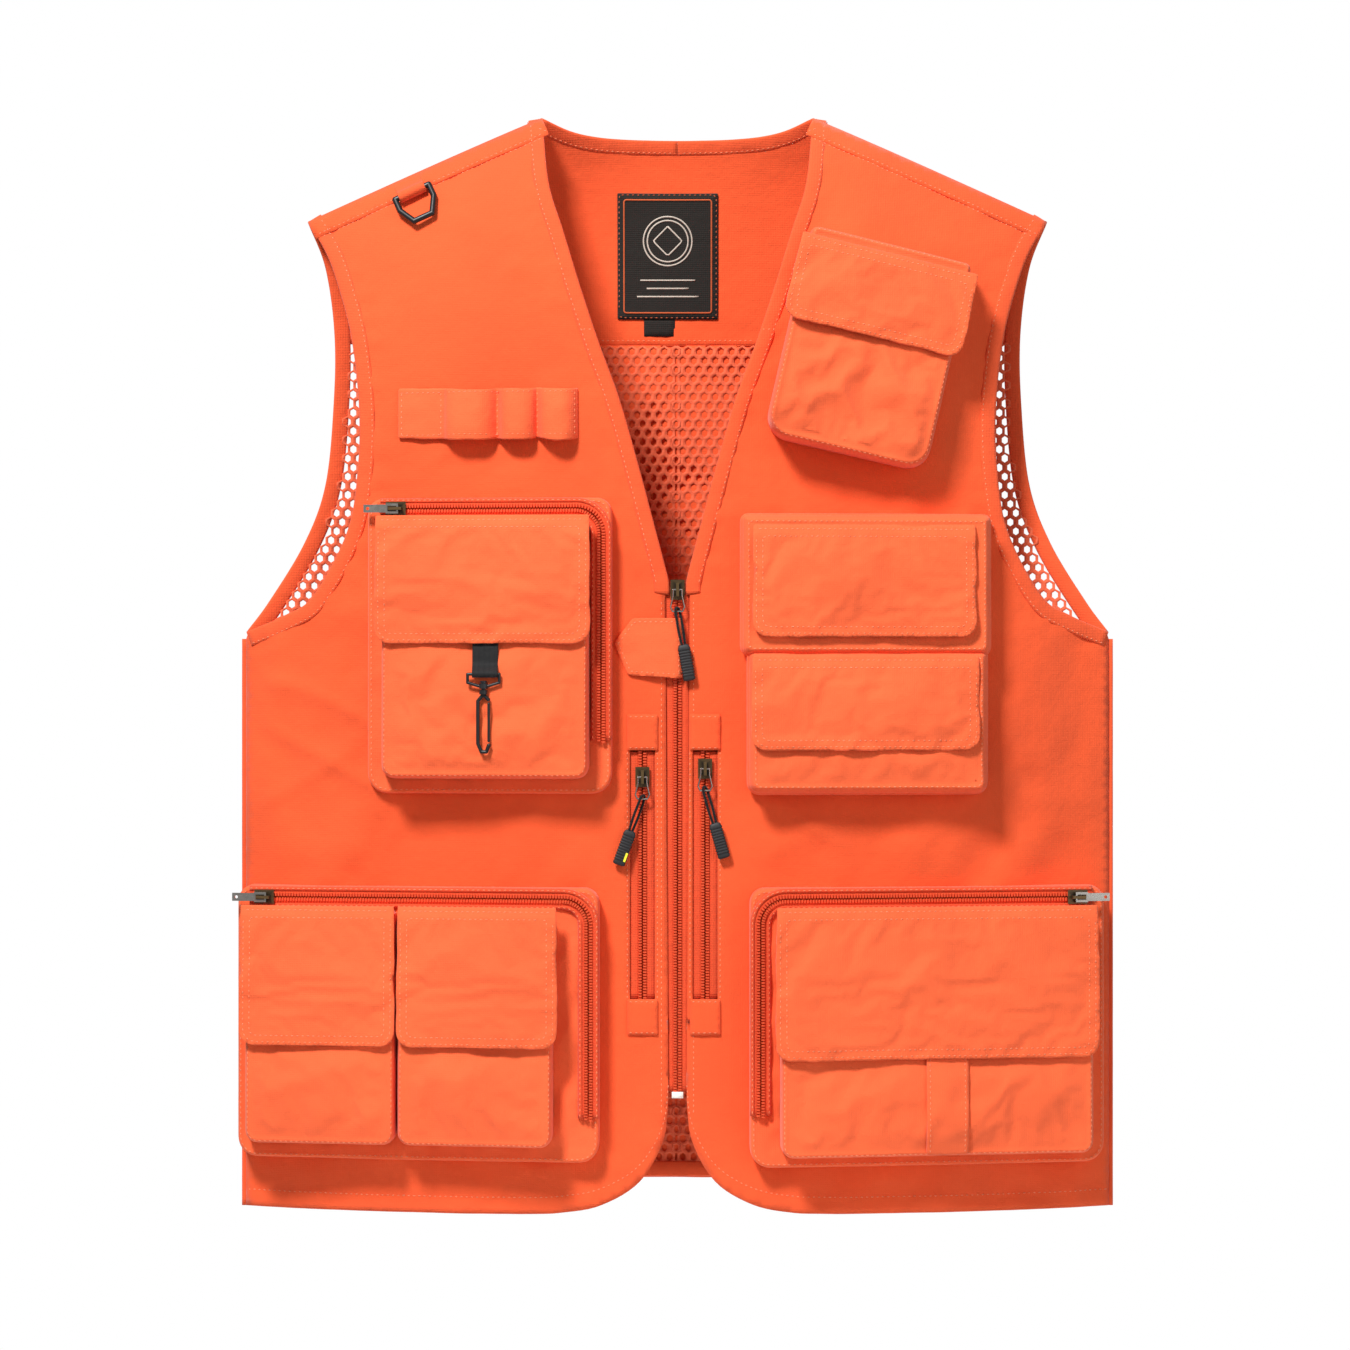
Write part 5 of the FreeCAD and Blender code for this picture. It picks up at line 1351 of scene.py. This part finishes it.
ring_x = -161.0
ring_z = float(ridge_z(ring_x)) - 12
along = Vector((1, 0, RIDGE_SLOPE)).normalized()
ring_c = Vector((ring_x, float(plain_front(ring_x, ring_z)) - 6.0, ring_z))
low_x, low_z = ring_x + along.z * 20, ring_z - along.x * 20
ring_down = Vector((low_x, float(plain_front(low_x, low_z)) - 6.0, low_z)) - ring_c
ring_down = (ring_down - along * ring_down.dot(along)).normalized()
ring_out = along.cross(ring_down)
ring_out = ring_out if ring_out.y < 0 else -ring_out
keeper_path = smooth([(-11.5, -5.4), (-7, -3.6), (-3.4, 0.4), (-1.6, 2.6), (0.6, 3.1), (2.6, 1.7), (3.1, -0.6),
                      (1.4, -2.9), (-2.5, -4.2), (-8, -5.6)], 1.2)
keeper = np.zeros((len(keeper_path), 9, 3))
for i, (d, o) in enumerate(keeper_path):
    for j, u in enumerate(np.linspace(-8.6, 8.6, 9)):
        keeper[i, j] = tuple(ring_c + along * u + ring_down * d + ring_out * o)
put(grid_sheet("ring_keeper_cloth", keeper, "binding", "binding_cloth", 0.8), "vest", "ring_keeper")

strap_x = -114.0
strap_path = smooth([(-303.5, 1.5), (-306.5, 1.9), (-311, 2.9), (-316, 3.4), (-322, 4.2), (-325.7, 8.4),
                     (-327.4, 9.75), (-329.2, 8.6), (-329.1, 6.6), (-327.2, 5.85), (-323.4, 3.4), (-318, 2.2)], 1.2)
strap = np.zeros((len(strap_path), 9, 3))
for i, (z, o) in enumerate(strap_path):
    for j, u in enumerate(np.linspace(-7.6, 7.6, 9)):
        strap[i, j] = (strap_x + u, CHEST_Y(strap_x + u, z) - o - 0.4, z)
put(grid_sheet("hook_strap_webbing", strap, "webbing", "webbing", 1.0), "vest", "hook_strap")

left_patch_tree = tree_of(POCKETS["left_cargo_patch"][0])
strap_z = np.arange(-613, -541, 3.0)
centre = np.zeros((len(strap_z), 9, 3))
for i, z in enumerate(strap_z):
    for j, u in enumerate(np.linspace(148, 173, 9)):
        hit = ray_y(left_patch_tree, u, z)
        centre[i, j] = (u, (hit if hit is not None else float(LEFT_Y(u, z))) - 1.5, z)
strap_piece = put(grid_sheet("left_cargo_strap_cloth", centre, "pocket", "shell_cloth", 1.1), "vest",
                  "left_cargo_strap")

# ------------------------------------------------------------------ seams
body_tree = tree_of(bpy.data.objects["left_front_panel_cloth"], bpy.data.objects["right_front_panel_cloth"],
                    yoke, neck_binding, arm_binding)
lines = []
for side in (1, -1):
    own = [hem_line + (0, 10.0), beside(NECK_LINE, -7.2), beside(FRONT_ARM, 7.6),
           smooth([(x, z - 10.8) for x, z in RIDGE]), smooth([(x, z - 13.6) for x, z in RIDGE]),
           np.array([(9.6, V_BOTTOM_Z - 12), (9.6, HEM_Z + 60)])]
    lines += [mirrored(line, side) for line in own]
for side, (x, z0, z1) in WINDOWS.items():
    lines += [np.array([(x - 9, z0), (x - 9, z1)]), np.array([(x + 9, z0), (x + 9, z1)])]
put(stitches("body_stitches", body_tree, lines), "vest")
lines = [[(x - 8.2, z), (x + 8.2, z)] for x in HAND_ZIP_X for z in (-371.6, -353, -542, -523.5)]
put(stitches("patch_stitches", tree_of(patch_cloth), lines), "vest")
back_tree = tree_of(back_shell, yoke, neck_binding, arm_binding)
lines = [BACK_HEM[2:-2] + (0, 10)] + [smooth([(-210, YOKE_Z + up), (210, YOKE_Z + up)]) for up in (3, 6)]
lines += [[(x, -640), (x, -130)] for x in (3 - BACK_HALF, BACK_HALF - 3)]
lines += [mirrored(beside(*edge), side) for edge in ((NAPE_LINE, 7.2), (BACK_ARM, 7.6)) for side in (1, -1)]
put(stitches("back_stitches", back_tree, lines, back=True), "vest")
inner_tree = tree_of(neck_binding, yoke, arm_binding)
lines = [mirrored(beside(NAPE_LINE, 7.0), side) for side in (1, -1)]
lines += [smooth([(-60, YOKE_Z + 2), (60, YOKE_Z + 2)])]
put(stitches("nape_stitches", inner_tree, lines), "vest")
put(stitches("label_stitches", tree_of(bpy.data.objects["neck_label_cloth"]),
             [rounded(-36, 24, -107, -32, 0.8, 0.8, 0, 4)], "label_print", slot="label_cloth"), "vest")


def around(rect, inset):
    """Line inside a flap's edge, open at its root."""
    line = rounded(*rect, 9, 2, inset, 3)
    keep = line[line[:, 1] < rect[3] - 5]
    start = np.argmax(np.hypot(*np.diff(np.vstack([keep, keep[:1]]), axis=0).T)) + 1
    return np.roll(keep, -start, axis=0)


for name, (rect, _, lean, _) in FLAPS.items():
    x0, x1, _, z1 = rect
    flap_tree = tree_of(FLAP_SHAPES[name])
    edge = [turn(around(rect, inset), *lean) for inset in (1.8, 5.6)]
    root = turn(straight((x0 + 3, z1 - 1.2), (x1 - 3, z1 - 1.2)), *lean)
    put(stitches(name + "_stitches", flap_tree, edge), name)
    put(stitches(name + "_root_stitches", flap_tree, [root]), "vest")
for name, _, rect, radii, *_, lean, _, _, _ in specs:
    line = rounded(*rect, *radii, 2.4, 3)
    put(stitches(name + "_stitches", tree_of(POCKETS[name][0]), [turn(np.vstack([line, line[:1]]), *lean)]), "vest")
put(stitches("zip_tab_stitches", tab_tree, [shifted(np.vstack([tab_line, tab_line[:1]]), -2.2)]), "zip_tab")
lines = [straight((-167, z), (-61, z), 3) for z in (-184, -158.5)]
lines += [[(x, -184.5), (x, -157.5)] for x in (-166, -142, -108, -84, -61.5)]
put(stitches("tool_loop_stitches", tree_of(loops), lines), "vest")
put(stitches("strap_stitches", tree_of(strap_piece), [[(x, -612), (x, -545)] for x in (150, 171)]), "vest")

# ------------------------------------------------------------------ finishes of the CAD pieces that show
FINISH = {"plastic": ["d_ring", "hook_eye", "snap_hook", "hook_gate"],
          "black_metal": ["main_slider", "right_hand_slider", "left_hand_slider", "chest_slider",
                          "right_cargo_slider", "left_cargo_slider"],
          "silver": ["main_bail", "right_hand_bail", "left_hand_bail", "chest_pull", "right_cargo_pull",
                     "left_cargo_pull"]}
for finish, names in FINISH.items():
    for name in names:
        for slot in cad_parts[name].material_slots:
            slot.material = MATERIALS[finish]
